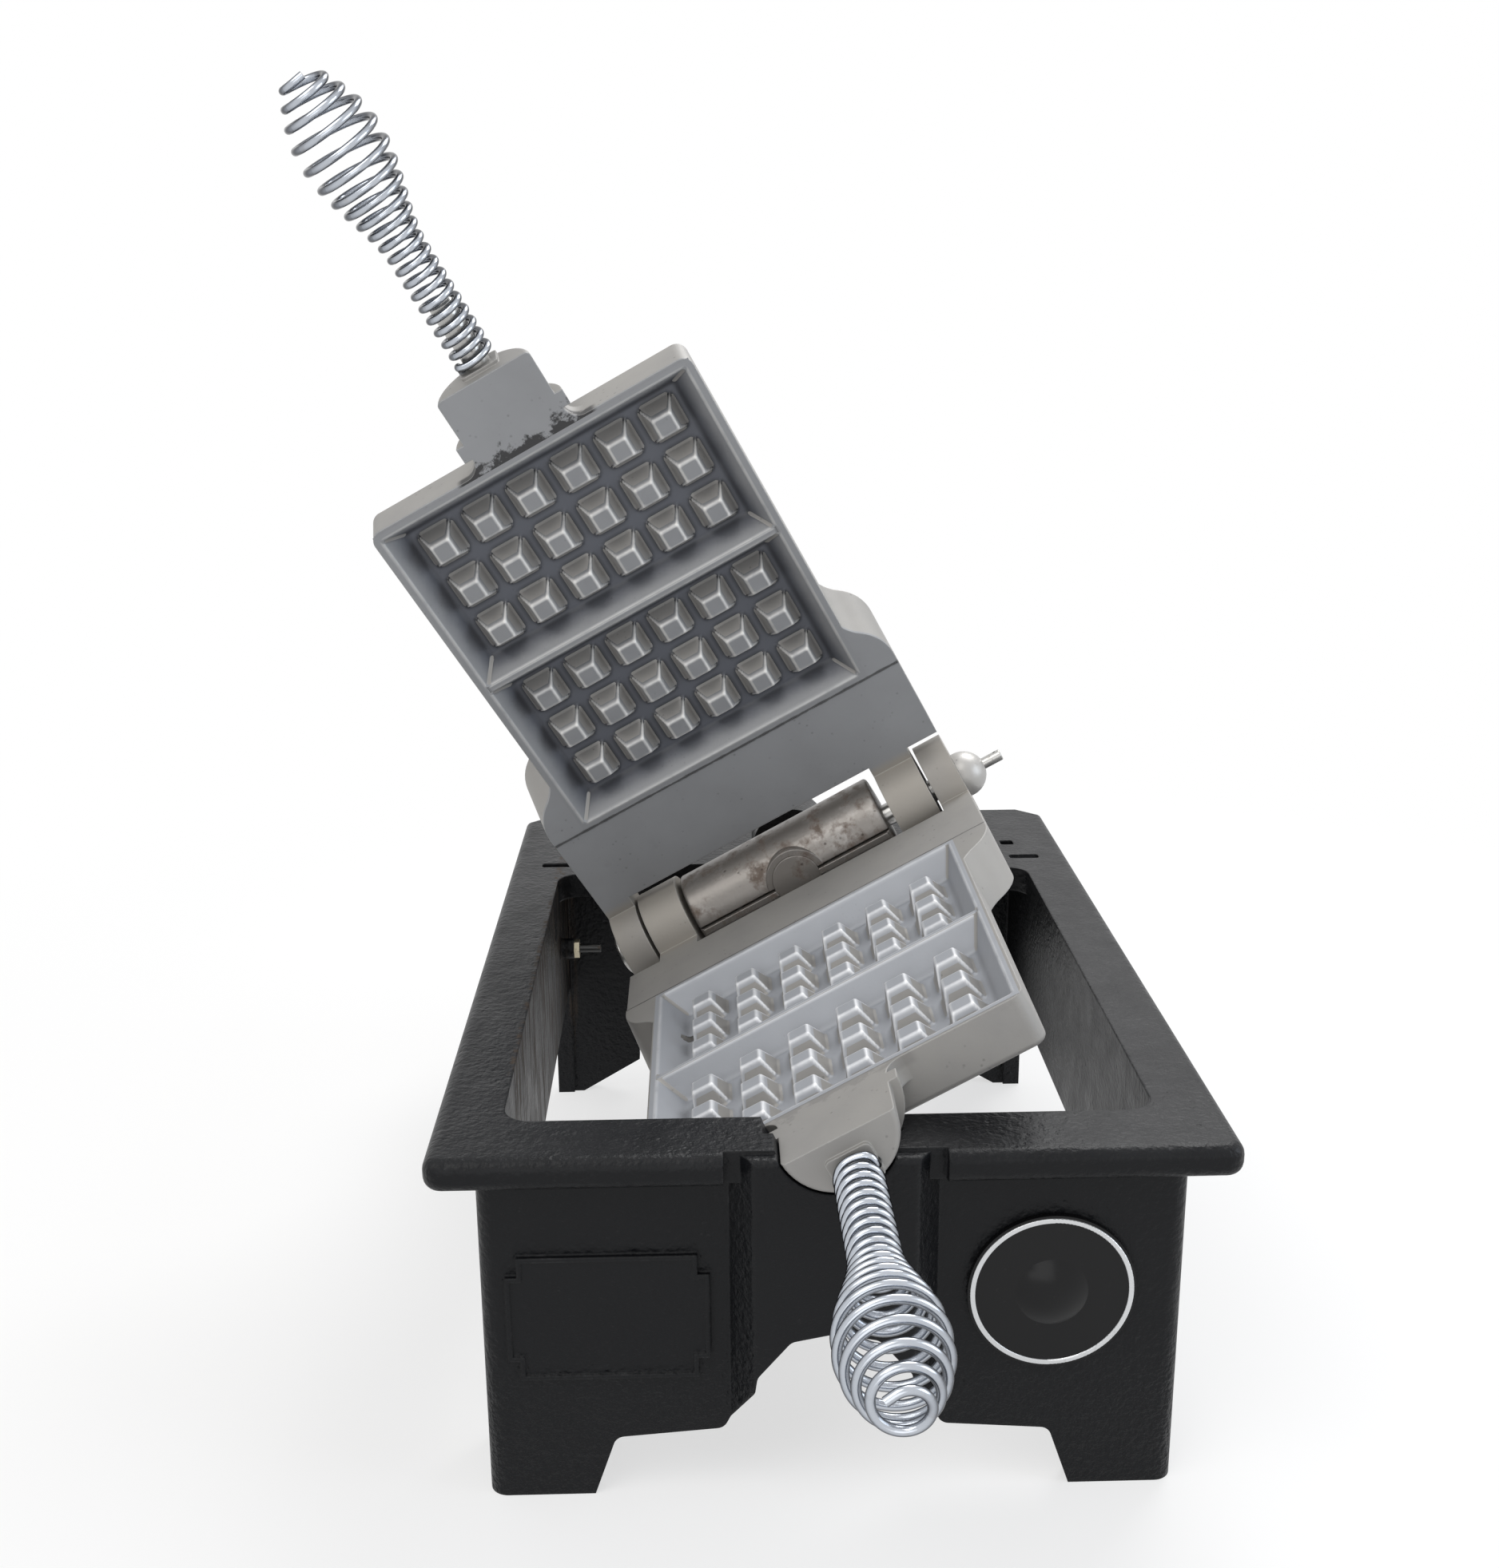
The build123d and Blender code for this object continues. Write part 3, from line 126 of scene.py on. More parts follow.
class WaffleIronColours(bpy.types.PropertyGroup):
    """Colours of the finishes."""
    paint: colour("Stand paint", "Black paint on the stand", (0.0040, 0.0044, 0.0055))
    paint_dust: colour("Dusty paint", "Dust on the stand's flat top", (0.010, 0.0105, 0.012))
    # The paint edge colour is wear and a painted highlight along every edge.
    paint_edge_wear_and_highlight: colour("Paint edges", "Edges where the paint is rubbed thin", (0.085, 0.085, 0.088))
    paint_wear: colour("Worn paint", "Where the paint is rubbed or burnt brown", (0.060, 0.045, 0.034))
    lower_pocket: colour("Lower pocket", "Clean aluminium in the lower pocket", (0.37, 0.385, 0.415))
    upper_pocket: colour("Upper pocket", "Seasoned floor of the upper pocket", (0.118, 0.125, 0.145))
    cube_face: colour("Cube faces", "Rubbed sides and tops of the upper cubes", (0.27, 0.275, 0.285))
    # The crest colours are painted highlights on the waffle faces' crests.
    lower_crest_highlight: colour("Lower crests", "Bright crests of the lower pocket", (0.80, 0.81, 0.83))
    upper_crest_highlight: colour("Upper crests", "Bright crests of the upper pocket", (0.72, 0.71, 0.69))
    casting: colour("Casting", "Outside of the castings", (0.33, 0.32, 0.305))
    upper_casting: colour("Upper casting", "Mating face and block of the upper half", (0.285, 0.292, 0.305))
    casting_cloud: colour("Casting clouds", "Slow dark clouds on the castings", (0.20, 0.20, 0.205))
    casting_edge: colour("Casting edges", "Rubbed edges of the castings", (0.58, 0.575, 0.56))
    knuckle: colour("Knuckles", "Warm grey of the hinge's knuckles", (0.335, 0.310, 0.275))
    # The soot colour also serves as painted shade round the cubes' feet and in the waffle faces' hollows.
    soot: colour("Soot", "Burnt residue in corners", (0.022, 0.021, 0.022))
    trunnion: colour("Trunnion", "Bare cast iron", (0.22, 0.205, 0.190))
    trunnion_pale: colour("Pale iron", "Patches of the trunnion without rust", (0.36, 0.345, 0.33))
    trunnion_pit: colour("Iron pits", "Pits in the trunnion", (0.035, 0.025, 0.02))
    trunnion_edge: colour("Iron edges", "Rubbed edges of the trunnion", (0.40, 0.38, 0.36))
    ball: colour("Ball nut", "Pale grey of the ball nut", (0.43, 0.42, 0.405))
    ball_grime: colour("Ball grime", "Grime on the ball nut", (0.17, 0.16, 0.15))
    rust: colour("Rust", "Thin rust on bare iron", (0.105, 0.070, 0.050))
    chrome: colour("Chrome", "Chromed wire", (0.50, 0.53, 0.58))
    chrome_dull: colour("Dull chrome", "Hazy spots on the wire", (0.42, 0.42, 0.43))
    # Painted dark reflection on the sides of the wire that turn away from the view.
    chrome_dark_reflection: colour("Turned chrome", "Dark sides of the wire", (0.030, 0.034, 0.044))
    steel: colour("Steel", "Plated fasteners", (0.46, 0.455, 0.44))
    steel_edge: colour("Steel edges", "Rubbed edges of the fasteners", (0.66, 0.66, 0.65))
    brass: colour("Brass", "Nut on the side screw", (0.50, 0.45, 0.33))
    dark_steel: colour("Dark steel", "The side screw, black with paint", (0.045, 0.045, 0.045))
    badge: colour("Badge enamel", "Gloss black enamel", (0.004, 0.004, 0.0045))
    badge_dust: colour("Badge dust", "Dust on the enamel", (0.02, 0.02, 0.021))
    badge_ring: colour("Badge ring", "Silver ring of the badge", (0.62, 0.63, 0.64))
    ring_tarnish: colour("Ring tarnish", "Tarnish on the badge's ring", (0.25, 0.25, 0.24))
    floor: colour("Floor", "Pale floor under the stand", (0.86, 0.86, 0.86))


class WaffleIronStage(bpy.types.PropertyGroup):
    """Camera and lights."""
    lens: FloatProperty(name="Lens", description="Focal length on the 36 mm sensor", default=41.27)
    camera_at: FloatVectorProperty(name="Camera place", description="Where the camera stands",
                                   default=(-0.0485, -0.877, 0.5025), size=3, subtype="TRANSLATION")
    yaw: FloatProperty(name="Yaw", description="Camera's turn about the vertical",
                       default=radians(-1.36), subtype="ANGLE")
    pitch: FloatProperty(name="Pitch", description="Camera's tilt, down is negative",
                         default=radians(-16.10), subtype="ANGLE")
    roll: FloatProperty(name="Roll", description="Camera's roll", default=radians(0.485), subtype="ANGLE")
    key_power: power("Key light", "Power of the large soft light", 15)
    window_power: power("Window light", "Power of the cool light on the right", 9)
    fill_power: power("Fill light", "Power of the low front light", 4)
    top_power: power("Top light", "Power of the light above the rear", 20)
    sky: share("Room light", "Strength of the surrounding white", 0.55)


# Node helpers

def add_node(tree, kind, inputs=None, **settings):
    """A node with its settings made and its inputs set or linked."""
    node = tree.nodes.new(kind)
    for name, value in settings.items():
        setattr(node, name, value)
    for name, value in (inputs or {}).items():
        if isinstance(value, bpy.types.NodeSocket):
            tree.links.new(value, node.inputs[name])
        else:
            node.inputs[name].default_value = value
    return node


def rgba(value):
    """A colour with its alpha."""
    return (*value[:3], 1.0)


def maths(tree, operation, first, second=0.0, clamp=False):
    """Output of a Math node."""
    return add_node(tree, "ShaderNodeMath", {0: first, 1: second}, operation=operation,
                    use_clamp=clamp).outputs[0]


def mix_colour(tree, factor, first, second):
    """Output of a colour Mix node: inputs 6 and 7 are its colours A and B, output 2 their mix."""
    first, second = (value if isinstance(value, bpy.types.NodeSocket) else rgba(value)
                     for value in (first, second))
    return add_node(tree, "ShaderNodeMix", {0: factor, 6: first, 7: second}, data_type="RGBA",
                    clamp_factor=True).outputs[2]


def product(tree, first, *others):
    """Product of several values."""
    for other in others:
        first = maths(tree, "MULTIPLY", first, other)
    return first


def invert(tree, value):
    """1 minus the value."""
    return maths(tree, "SUBTRACT", 1.0, value)


def spread(tree, start, mask, span):
    """Start, and span more where the mask is 1."""
    return maths(tree, "ADD", start, maths(tree, "MULTIPLY", mask, span))


def tint(tree, base, over, mask, weight):
    """Base colour with another laid over it by weight where the mask is 1."""
    return mix_colour(tree, product(tree, mask, weight), base, over)


def ramp(tree, value, low, high):
    """Smooth 0 to 1 between two values."""
    return add_node(tree, "ShaderNodeMapRange", {"Value": value, "From Min": low, "From Max": high},
                    interpolation_type="SMOOTHSTEP").outputs[0]


def noise(tree, vector, size, detail=3.0, roughness=0.55, stretch=None):
    """Noise whose features are about size metres across; stretch squeezes them along the axes."""
    if stretch:
        vector = add_node(tree, "ShaderNodeMapping", {"Vector": vector, "Scale": stretch}).outputs[0]
    return add_node(tree, "ShaderNodeTexNoise", {"Vector": vector, "Scale": 1 / size, "Detail": detail,
                                                 "Roughness": roughness}).outputs[0]


def object_place(tree):
    """The point in the row frame, because every piece's object sits at the origin."""
    return add_node(tree, "ShaderNodeTexCoord").outputs["Object"]


def seat_place(tree, seat):
    """The point in a casting's own frame."""
    inverse = seat.inverted()
    return add_node(tree, "ShaderNodeMapping", {
        "Vector": object_place(tree), "Location": inverse.to_translation(),
        "Rotation": inverse.to_euler()}, vector_type="POINT").outputs[0]


def split(tree, vector):
    """The three coordinates of a vector."""
    return add_node(tree, "ShaderNodeSeparateXYZ", {"Vector": vector}).outputs


def new_group(name, inputs, outputs):
    """An empty shader node group with its sockets: (name, socket type, default)."""
    group = bpy.data.node_groups.new(name, "ShaderNodeTree")
    for socket_name, kind, default in inputs:
        socket = group.interface.new_socket(socket_name, in_out="INPUT", socket_type=kind)
        if default is not None:
            socket.default_value = default
    for socket_name, kind in outputs:
        group.interface.new_socket(socket_name, in_out="OUTPUT", socket_type=kind)
    return group, group.nodes.new("NodeGroupInput").outputs, group.nodes.new("NodeGroupOutput")


def group_node(tree, group, inputs):
    """Outputs of a group placed in a material with its own values."""
    return add_node(tree, "ShaderNodeGroup", inputs, node_tree=group).outputs


def cast_grain_group():
    """Sand-cast skin: fine grain, a slower swell and scattered pits, as a height, and the pits' mask."""
    if "cast_grain" in bpy.data.node_groups:
        return bpy.data.node_groups["cast_grain"]
    group, given, result = new_group(
        "cast_grain",
        [("Vector", "NodeSocketVector", None), ("Grain Size", "NodeSocketFloat", 1.2 * MM),
         ("Pits", "NodeSocketFloat", 0.5)],
        [("Height", "NodeSocketFloat"), ("Pit", "NodeSocketFloat")])
    swell_scale, cell_scale, cluster_scale = 0.17, 0.3, 0.09
    grain_share, swell_share = 0.45, 0.9
    place = given["Vector"]
    scale = maths(group, "DIVIDE", 1.0, given["Grain Size"])
    fine = add_node(group, "ShaderNodeTexNoise", {
        "Vector": place, "Scale": scale, "Detail": 3.0, "Roughness": 0.6}).outputs[0]
    slow = add_node(group, "ShaderNodeTexNoise", {
        "Vector": place, "Scale": product(group, scale, swell_scale), "Detail": 2.0}).outputs[0]
    cells = add_node(group, "ShaderNodeTexVoronoi", {
        "Vector": place, "Scale": product(group, scale, cell_scale)}).outputs[0]
    clusters = add_node(group, "ShaderNodeTexNoise", {
        "Vector": place, "Scale": product(group, scale, cluster_scale)}).outputs[0]
    pit = product(group, invert(group, ramp(group, cells, 0.05, 0.22)), ramp(group, clusters, 0.5, 0.62),
                  given["Pits"])
    skin = spread(group, product(group, fine, grain_share), slow, span=swell_share)
    group.links.new(maths(group, "SUBTRACT", skin, pit), result.inputs["Height"])
    group.links.new(pit, result.inputs["Pit"])
    return group


def soft_edge_group():
    """Rounded-edge normal, and a mask of the edges from the angle between it and the flat normal."""
    if "soft_edge" in bpy.data.node_groups:
        return bpy.data.node_groups["soft_edge"]
    group, given, result = new_group(
        "soft_edge", [("Radius", "NodeSocketFloat", 1.0 * MM)],
        [("Edge", "NodeSocketFloat"), ("Normal", "NodeSocketVector")])
    rounded = add_node(group, "ShaderNodeBevel", {"Radius": given["Radius"]}, samples=6).outputs[0]
    flat = add_node(group, "ShaderNodeNewGeometry").outputs["Normal"]
    likeness = add_node(group, "ShaderNodeVectorMath", {0: rounded, 1: flat},
                        operation="DOT_PRODUCT").outputs["Value"]
    group.links.new(ramp(group, invert(group, likeness), 0.01, 0.16), result.inputs["Edge"])
    group.links.new(rounded, result.inputs["Normal"])
    return group


def blotch_group():
    """Broken patches: noise cut at a level, as a mask that grows with Amount."""
    if "blotches" in bpy.data.node_groups:
        return bpy.data.node_groups["blotches"]
    group, given, result = new_group(
        "blotches",
        [("Vector", "NodeSocketVector", None), ("Size", "NodeSocketFloat", 20 * MM),
         ("Amount", "NodeSocketFloat", 0.5)],
        [("Mask", "NodeSocketFloat")])
    scale = maths(group, "DIVIDE", 1.0, given["Size"])
    patches = add_node(group, "ShaderNodeTexNoise", {"Vector": given["Vector"], "Scale": scale, "Detail": 6.0,
                                                     "Roughness": 0.68}).outputs[0]
    bare_level, level_span, contrast = 0.78, 0.5, 7.0
    level = spread(group, bare_level, given["Amount"], span=-level_span)
    mask = maths(group, "MULTIPLY", maths(group, "SUBTRACT", patches, level), contrast, clamp=True)
    group.links.new(mask, result.inputs["Mask"])
    return group


def blotches(tree, place, size, amount):
    """Mask of the blotches group."""
    return group_node(tree, blotch_group(), {"Vector": place, "Size": size, "Amount": amount})["Mask"]


def new_material(name, colour_value, metallic=0.0, roughness=0.5):
    """A material with a Principled shader; returns the material, its tree and the shader."""
    material = bpy.data.materials.new(name)
    material.use_nodes = True
    tree = material.node_tree
    shader = tree.nodes["Principled BSDF"]
    shader.inputs["Base Color"].default_value = rgba(colour_value)
    shader.inputs["Metallic"].default_value = metallic
    shader.inputs["Roughness"].default_value = roughness
    return material, tree, shader


def set_input(tree, shader, name, value):
    """Link a socket, or set a value, on the shader."""
    if isinstance(value, bpy.types.NodeSocket):
        tree.links.new(value, shader.inputs[name])
    else:
        shader.inputs[name].default_value = value


def bump(tree, height, distance, strength=1.0, normal=None):
    """Normal of a Bump node whose height of 1 stands for distance metres."""
    inputs = {"Height": height, "Distance": distance, "Strength": strength}
    if normal is not None:
        inputs["Normal"] = normal
    return add_node(tree, "ShaderNodeBump", inputs).outputs[0]


def dress(node_name, material):
    """Give a CAD node its material."""
    node = frame["nodes"][node_name]
    if not node.material_slots:
        node.data.materials.append(material)
    for place in node.material_slots:
        place.material = material


# Materials

def stand_paint(colours):
    """Black paint on rough sand-cast iron: pebbled near the feet, brushed smooth above, rubbed on edges, with
    a painted highlight along every edge.
    """
    material, tree, shader = new_material("stand_black_paint", colours.paint, roughness=0.4)
    shader.inputs["Specular IOR Level"].default_value = 0.2
    pebbled_feet = (30 * MM, 85 * MM)
    left_wall_start, left_wall_end = (-139 * MM, -137.5 * MM), (-134 * MM, -131 * MM)
    front_end = (-160 * MM, -150 * MM)
    flat_top = (158.5 * MM, 159.8 * MM)
    place = object_place(tree)
    x, y, z = split(tree, place)
    grain = group_node(tree, cast_grain_group(), {"Vector": place, "Grain Size": 2.0 * MM, "Pits": 0.9})
    edge = group_node(tree, soft_edge_group(), {"Radius": 1.6 * MM})
    low = invert(tree, ramp(tree, z, *pebbled_feet))
    streaks = noise(tree, place, 5 * MM, detail=5.0, roughness=0.6, stretch=(1.0, 1.0, 0.12))
    worn = blotches(tree, place, size=11 * MM, amount=0.42)
    inner_left = product(tree, invert(tree, ramp(tree, x, *left_wall_end)),
                         ramp(tree, x, *left_wall_start), ramp(tree, y, *front_end))
    brown = maths(tree, "MULTIPLY", inner_left, ramp(tree, streaks, 0.46, 0.64), clamp=True)
    # Edge mask: a painted highlight on every edge, stronger where the paint is worn.
    rubbed = maths(tree, "MULTIPLY", edge["Edge"], maths(tree, "ADD", 0.15, worn), clamp=True)
    dust = ramp(tree, noise(tree, place, 30 * MM, detail=5.0), 0.3, 0.7)
    dusty = product(tree, ramp(tree, z, *flat_top), dust)
    shade = tint(tree, colours.paint, colours.paint_dust, dusty, weight=0.7)
    shade = tint(tree, shade, colours.paint_edge_wear_and_highlight, rubbed, weight=0.4)
    shade = tint(tree, shade, colours.paint_wear, brown, weight=0.75)
    set_input(tree, shader, "Base Color", shade)
    rough = spread(tree, 0.27, noise(tree, place, 14 * MM, detail=5.0), span=0.26)
    set_input(tree, shader, "Roughness", spread(tree, rough, brown, span=0.3))
    pebbles = product(tree, noise(tree, place, 3.0 * MM, detail=2.5), maths(tree, "ADD", 0.45, low))
    skin = bump(tree, grain["Height"], 0.4 * MM, strength=0.9, normal=edge["Normal"])
    set_input(tree, shader, "Normal", bump(tree, pebbles, 1.6 * MM, strength=0.9, normal=skin))
    return material


def casting_metal(name, colours, seat, face_colour, burnt_share):
    """Outside of a casting: dull aluminium, soot behind the rim and at the neck's root, its own face colour.

    The soot line runs along the pocket's rear edge. The burnt patch starts at the pocket's front rim
    and is torn by noise, denser towards its sides.
    """
    material, tree, shader = new_material(name, colours.casting, metallic=0.25, roughness=0.55)
    knuckle_start = (-34 * MM, -27 * MM)
    mating_face = (-1.6 * MM, -1.1 * MM)
    line_from_hinge, line_least, line_most = 86.5 * MM, 0.2 * MM, 3.2 * MM
    line_depth = (-2.5 * MM, -1.5 * MM)
    patch_start, patch_reach = -291.5 * MM, 15 * MM
    patch_denser, patch_side = (18 * MM, 32 * MM), (36 * MM, 40 * MM)
    patch_depth = (-7 * MM, -4 * MM)
    tear_level, tear_contrast = 0.66, 16.0
    place = seat_place(tree, seat)
    u, v, w = split(tree, place)
    grain = group_node(tree, cast_grain_group(), {"Vector": place, "Grain Size": 1.3 * MM, "Pits": 0.55})
    edge = group_node(tree, soft_edge_group(), {"Radius": 0.9 * MM})
    on_knuckle = ramp(tree, v, *knuckle_start)
    face = product(tree, ramp(tree, w, *mating_face), invert(tree, on_knuckle))
    shade = tint(tree, colours.casting, face_colour, face, weight=0.9)
    shade = tint(tree, shade, colours.knuckle, on_knuckle, weight=0.8)
    clouds = ramp(tree, noise(tree, place, 60 * MM, detail=4.0), 0.35, 0.75)
    shade = tint(tree, shade, colours.casting_cloud, clouds, weight=0.35)
    from_line = maths(tree, "ABSOLUTE", maths(tree, "ADD", v, line_from_hinge))
    ragged = product(tree, noise(tree, place, 9 * MM, detail=5.0, roughness=0.65), line_most)
    line = product(tree, invert(tree, ramp(tree, from_line, line_least, ragged)), ramp(tree, w, *line_depth))
    past_rim = maths(tree, "DIVIDE", maths(tree, "SUBTRACT", patch_start, v), patch_reach)
    near_rim = invert(tree, maths(tree, "ABSOLUTE", past_rim))
    to_side = maths(tree, "ABSOLUTE", u)
    density = spread(tree, near_rim, ramp(tree, to_side, *patch_denser), span=0.35)
    torn = maths(tree, "SUBTRACT", noise(tree, place, 15 * MM, detail=7.0, roughness=0.72), tear_level)
    burnt = maths(tree, "MULTIPLY", spread(tree, torn, density, span=0.3), tear_contrast, clamp=True)
    burnt = product(tree, burnt, ramp(tree, past_rim, -0.05, 0.0),
                    invert(tree, ramp(tree, to_side, *patch_side)), ramp(tree, w, *patch_depth))
    spots = blotches(tree, place, size=16 * MM, amount=0.32)
    dirt = maths(tree, "MAXIMUM", line, product(tree, burnt, burnt_share))
    dirt = maths(tree, "MAXIMUM", dirt, product(tree, grain["Pit"], 0.6))
    dirt = maths(tree, "MAXIMUM", dirt, product(tree, spots, 0.12), clamp=True)
    shade = mix_colour(tree, dirt, shade, colours.soot)
    shade = tint(tree, shade, colours.casting_edge, edge["Edge"], weight=0.45)
    set_input(tree, shader, "Base Color", shade)
    set_input(tree, shader, "Metallic", spread(tree, 0.3, dirt, span=-0.25))
    rough = noise(tree, place, 22 * MM, detail=6.0, roughness=0.7)
    set_input(tree, shader, "Roughness", spread(tree, 0.45, rough, span=0.22))
    skin = bump(tree, grain["Height"], 0.12 * MM, strength=0.6, normal=edge["Normal"])
    set_input(tree, shader, "Normal", skin)
    return material


def grid_metal(name, colours, seat, floor_colour, face_colour, crest_highlight, soot_and_shade_share):
    """Waffle face: colour runs from the floor to the cube tops, crests carry a painted highlight and are
    smoother where rubbed, feet hold soot and painted shade.
    """
    material, tree, shader = new_material(name, floor_colour, metallic=0.3, roughness=0.5)
    place = seat_place(tree, seat)
    grain = group_node(tree, cast_grain_group(), {"Vector": place, "Grain Size": 1.0 * MM, "Pits": 0.35})
    rise, crest, foot = (add_node(tree, "ShaderNodeAttribute", attribute_name=label).outputs["Fac"]
                         for label in FACE_LABELS)
    cloud = noise(tree, place, 18 * MM, detail=5.0, roughness=0.6)
    clouded_rise = spread(tree, rise, maths(tree, "SUBTRACT", cloud, 0.5), span=0.5)
    shade = mix_colour(tree, ramp(tree, clouded_rise, 0.1, 0.85), floor_colour, face_colour)
    pit_soot = product(tree, grain["Pit"], 0.5 * soot_and_shade_share)
    # Soot and painted shade at the cubes' feet and in the hollows, and soot in the pits.
    soot = maths(tree, "ADD", product(tree, foot, soot_and_shade_share), pit_soot, clamp=True)
    shade = mix_colour(tree, soot, shade, colours.soot)
    # Painted highlight on the crests, broken by noise; the same mask also makes them smoother, like rubbed
    # metal.
    rubbed = product(tree, crest, ramp(tree, noise(tree, place, 9 * MM, detail=3.0), 0.0, 0.6))
    set_input(tree, shader, "Base Color", mix_colour(tree, rubbed, shade, crest_highlight))
    rough = spread(tree, 0.44, cloud, span=0.2)
    set_input(tree, shader, "Roughness", spread(tree, rough, rubbed, span=-0.12))
    set_input(tree, shader, "Normal", bump(tree, grain["Height"], 0.12 * MM, strength=0.6))
    return material


def trunnion_iron(colours):
    """Bare cast iron browned by heat: pale rubbed metal showing through a thin rust."""
    material, tree, shader = new_material("trunnion_iron", colours.trunnion, metallic=0.55, roughness=0.42)
    place = seat_place(tree, LOWER_SEAT)
    grain = group_node(tree, cast_grain_group(), {"Vector": place, "Grain Size": 1.6 * MM, "Pits": 0.7})
    edge = group_node(tree, soft_edge_group(), {"Radius": 0.8 * MM})
    rust = blotches(tree, place, size=13 * MM, amount=0.55)
    pale = blotches(tree, place, size=24 * MM, amount=0.5)
    shade = tint(tree, colours.trunnion, colours.trunnion_pale, pale, weight=0.6)
    shade = tint(tree, shade, colours.rust, rust, weight=0.75)
    shade = mix_colour(tree, grain["Pit"], shade, colours.trunnion_pit)
    set_input(tree, shader, "Base Color", tint(tree, shade, colours.trunnion_edge, edge["Edge"], weight=0.5))
    set_input(tree, shader, "Roughness", spread(tree, 0.36, rust, span=0.28))
    skin = bump(tree, grain["Height"], 0.22 * MM, strength=0.7, normal=edge["Normal"])
    set_input(tree, shader, "Normal", skin)
    return material


def chrome_plate(colours):
    """Chromed wire: near mirror, with a faint haze, and a painted dark reflection on the sides that turn
    away.
    """
    material, tree, shader = new_material("chromed_wire", colours.chrome, metallic=1.0, roughness=0.12)
    place = object_place(tree)
    haze = noise(tree, place, 9 * MM, detail=4.0, roughness=0.6)
    set_input(tree, shader, "Roughness", spread(tree, 0.15, haze, span=0.12))
    dull = ramp(tree, noise(tree, place, 4 * MM, detail=3.0), 0.55, 0.8)
    shade = tint(tree, colours.chrome, colours.chrome_dull, dull, weight=0.5)
    # Painted dark reflection: the wire's colour darkens where it turns away from the view.
    turned = add_node(tree, "ShaderNodeLayerWeight", {"Blend": 0.5}).outputs["Facing"]
    set_input(tree, shader, "Base Color",
              mix_colour(tree, ramp(tree, turned, 0.12, 0.72), shade, colours.chrome_dark_reflection))
    return material


def fastener_steel(name, base, colours):
    """Plated steel dulled by heat, with rust specks."""
    material, tree, shader = new_material(name, base, metallic=0.85, roughness=0.35)
    place = object_place(tree)
    specks = blotches(tree, place, size=4 * MM, amount=0.42)
    edge = group_node(tree, soft_edge_group(), {"Radius": 0.4 * MM})
    shade = tint(tree, base, colours.rust, specks, weight=0.6)
    set_input(tree, shader, "Base Color", tint(tree, shade, colours.steel_edge, edge["Edge"], weight=0.2))
    set_input(tree, shader, "Roughness", spread(tree, 0.28, specks, span=0.35))
    scratch = noise(tree, place, 1.2 * MM, detail=2.0)
    set_input(tree, shader, "Normal", bump(tree, scratch, 0.05 * MM, strength=0.4, normal=edge["Normal"]))
    return material


def ball_metal(colours):
    """Cast ball nut: pale grey, with sooty pits and grime."""
    material, tree, shader = new_material("ball_nut_metal", colours.ball, metallic=0.5, roughness=0.5)
    place = seat_place(tree, LOWER_SEAT)
    grain = group_node(tree, cast_grain_group(), {"Vector": place, "Grain Size": 0.9 * MM, "Pits": 0.8})
    grime = blotches(tree, place, size=7 * MM, amount=0.35)
    shade = tint(tree, colours.ball, colours.ball_grime, grime, weight=0.4)
    set_input(tree, shader, "Base Color", mix_colour(tree, grain["Pit"], shade, colours.soot))
    set_input(tree, shader, "Roughness", spread(tree, 0.42, grime, span=0.2))
    set_input(tree, shader, "Normal", bump(tree, grain["Height"], 0.12 * MM, strength=0.6))
    return material


def badge_enamel(colours):
    """Gloss black enamel with fine dust scratches."""
    material, tree, shader = new_material("badge_enamel", colours.badge, roughness=0.18)
    shader.inputs["Specular IOR Level"].default_value = 0.25
    place = object_place(tree)
    dust = noise(tree, place, 3 * MM, detail=6.0, roughness=0.7)
    set_input(tree, shader, "Roughness", spread(tree, 0.12, dust, span=0.22))
    dusty = mix_colour(tree, ramp(tree, dust, 0.62, 0.85), colours.badge, colours.badge_dust)
    set_input(tree, shader, "Base Color", dusty)
    swell = noise(tree, place, 11 * MM, detail=2.0)
    set_input(tree, shader, "Normal", bump(tree, swell, 0.12 * MM, strength=0.4))
    return material


def badge_silver(colours):
    """Silvered ring, a little tarnished."""
    material, tree, shader = new_material("badge_silver", colours.badge_ring, metallic=0.8, roughness=0.35)
    tarnish = blotches(tree, object_place(tree), size=5 * MM, amount=0.4)
    shade = tint(tree, colours.badge_ring, colours.ring_tarnish, tarnish, weight=0.4)
    set_input(tree, shader, "Base Color", shade)
    set_input(tree, shader, "Roughness", spread(tree, 0.26, tarnish, span=0.2))
    return material


# Shapes

def soft_min(first, second, softness):
    """Smaller of two arrays, with the crease between them rounded over softness."""
    blend = np.clip(0.5 + 0.5 * (second - first) / softness, 0, 1)
    return second * (1 - blend) + first * blend - softness * blend * (1 - blend)


def soft_max(first, second, softness):
    """Larger of two arrays, with the crease between them rounded over softness."""
    return -soft_min(-first, -second, softness)


def from_cube(u, v, sizes):
    """Distances from the middle of the nearest cube, across and along."""
    column = np.clip(np.round(u / sizes.pitch_across - 0.5), -sizes.columns / 2, sizes.columns / 2 - 1)
    across = np.abs(u - (column + 0.5) * sizes.pitch_across)
    from_divider = np.abs(v + (sizes.front + sizes.rear) / 2)
    from_field = from_divider - (sizes.rows * sizes.pitch_along + sizes.divider_gap) / 2
    half_rows = (sizes.rows - 1) / 2
    row = np.clip(np.round(from_field / sizes.pitch_along + half_rows), 0, sizes.rows - 1) - half_rows
    return across, np.abs(from_field - row * sizes.pitch_along)


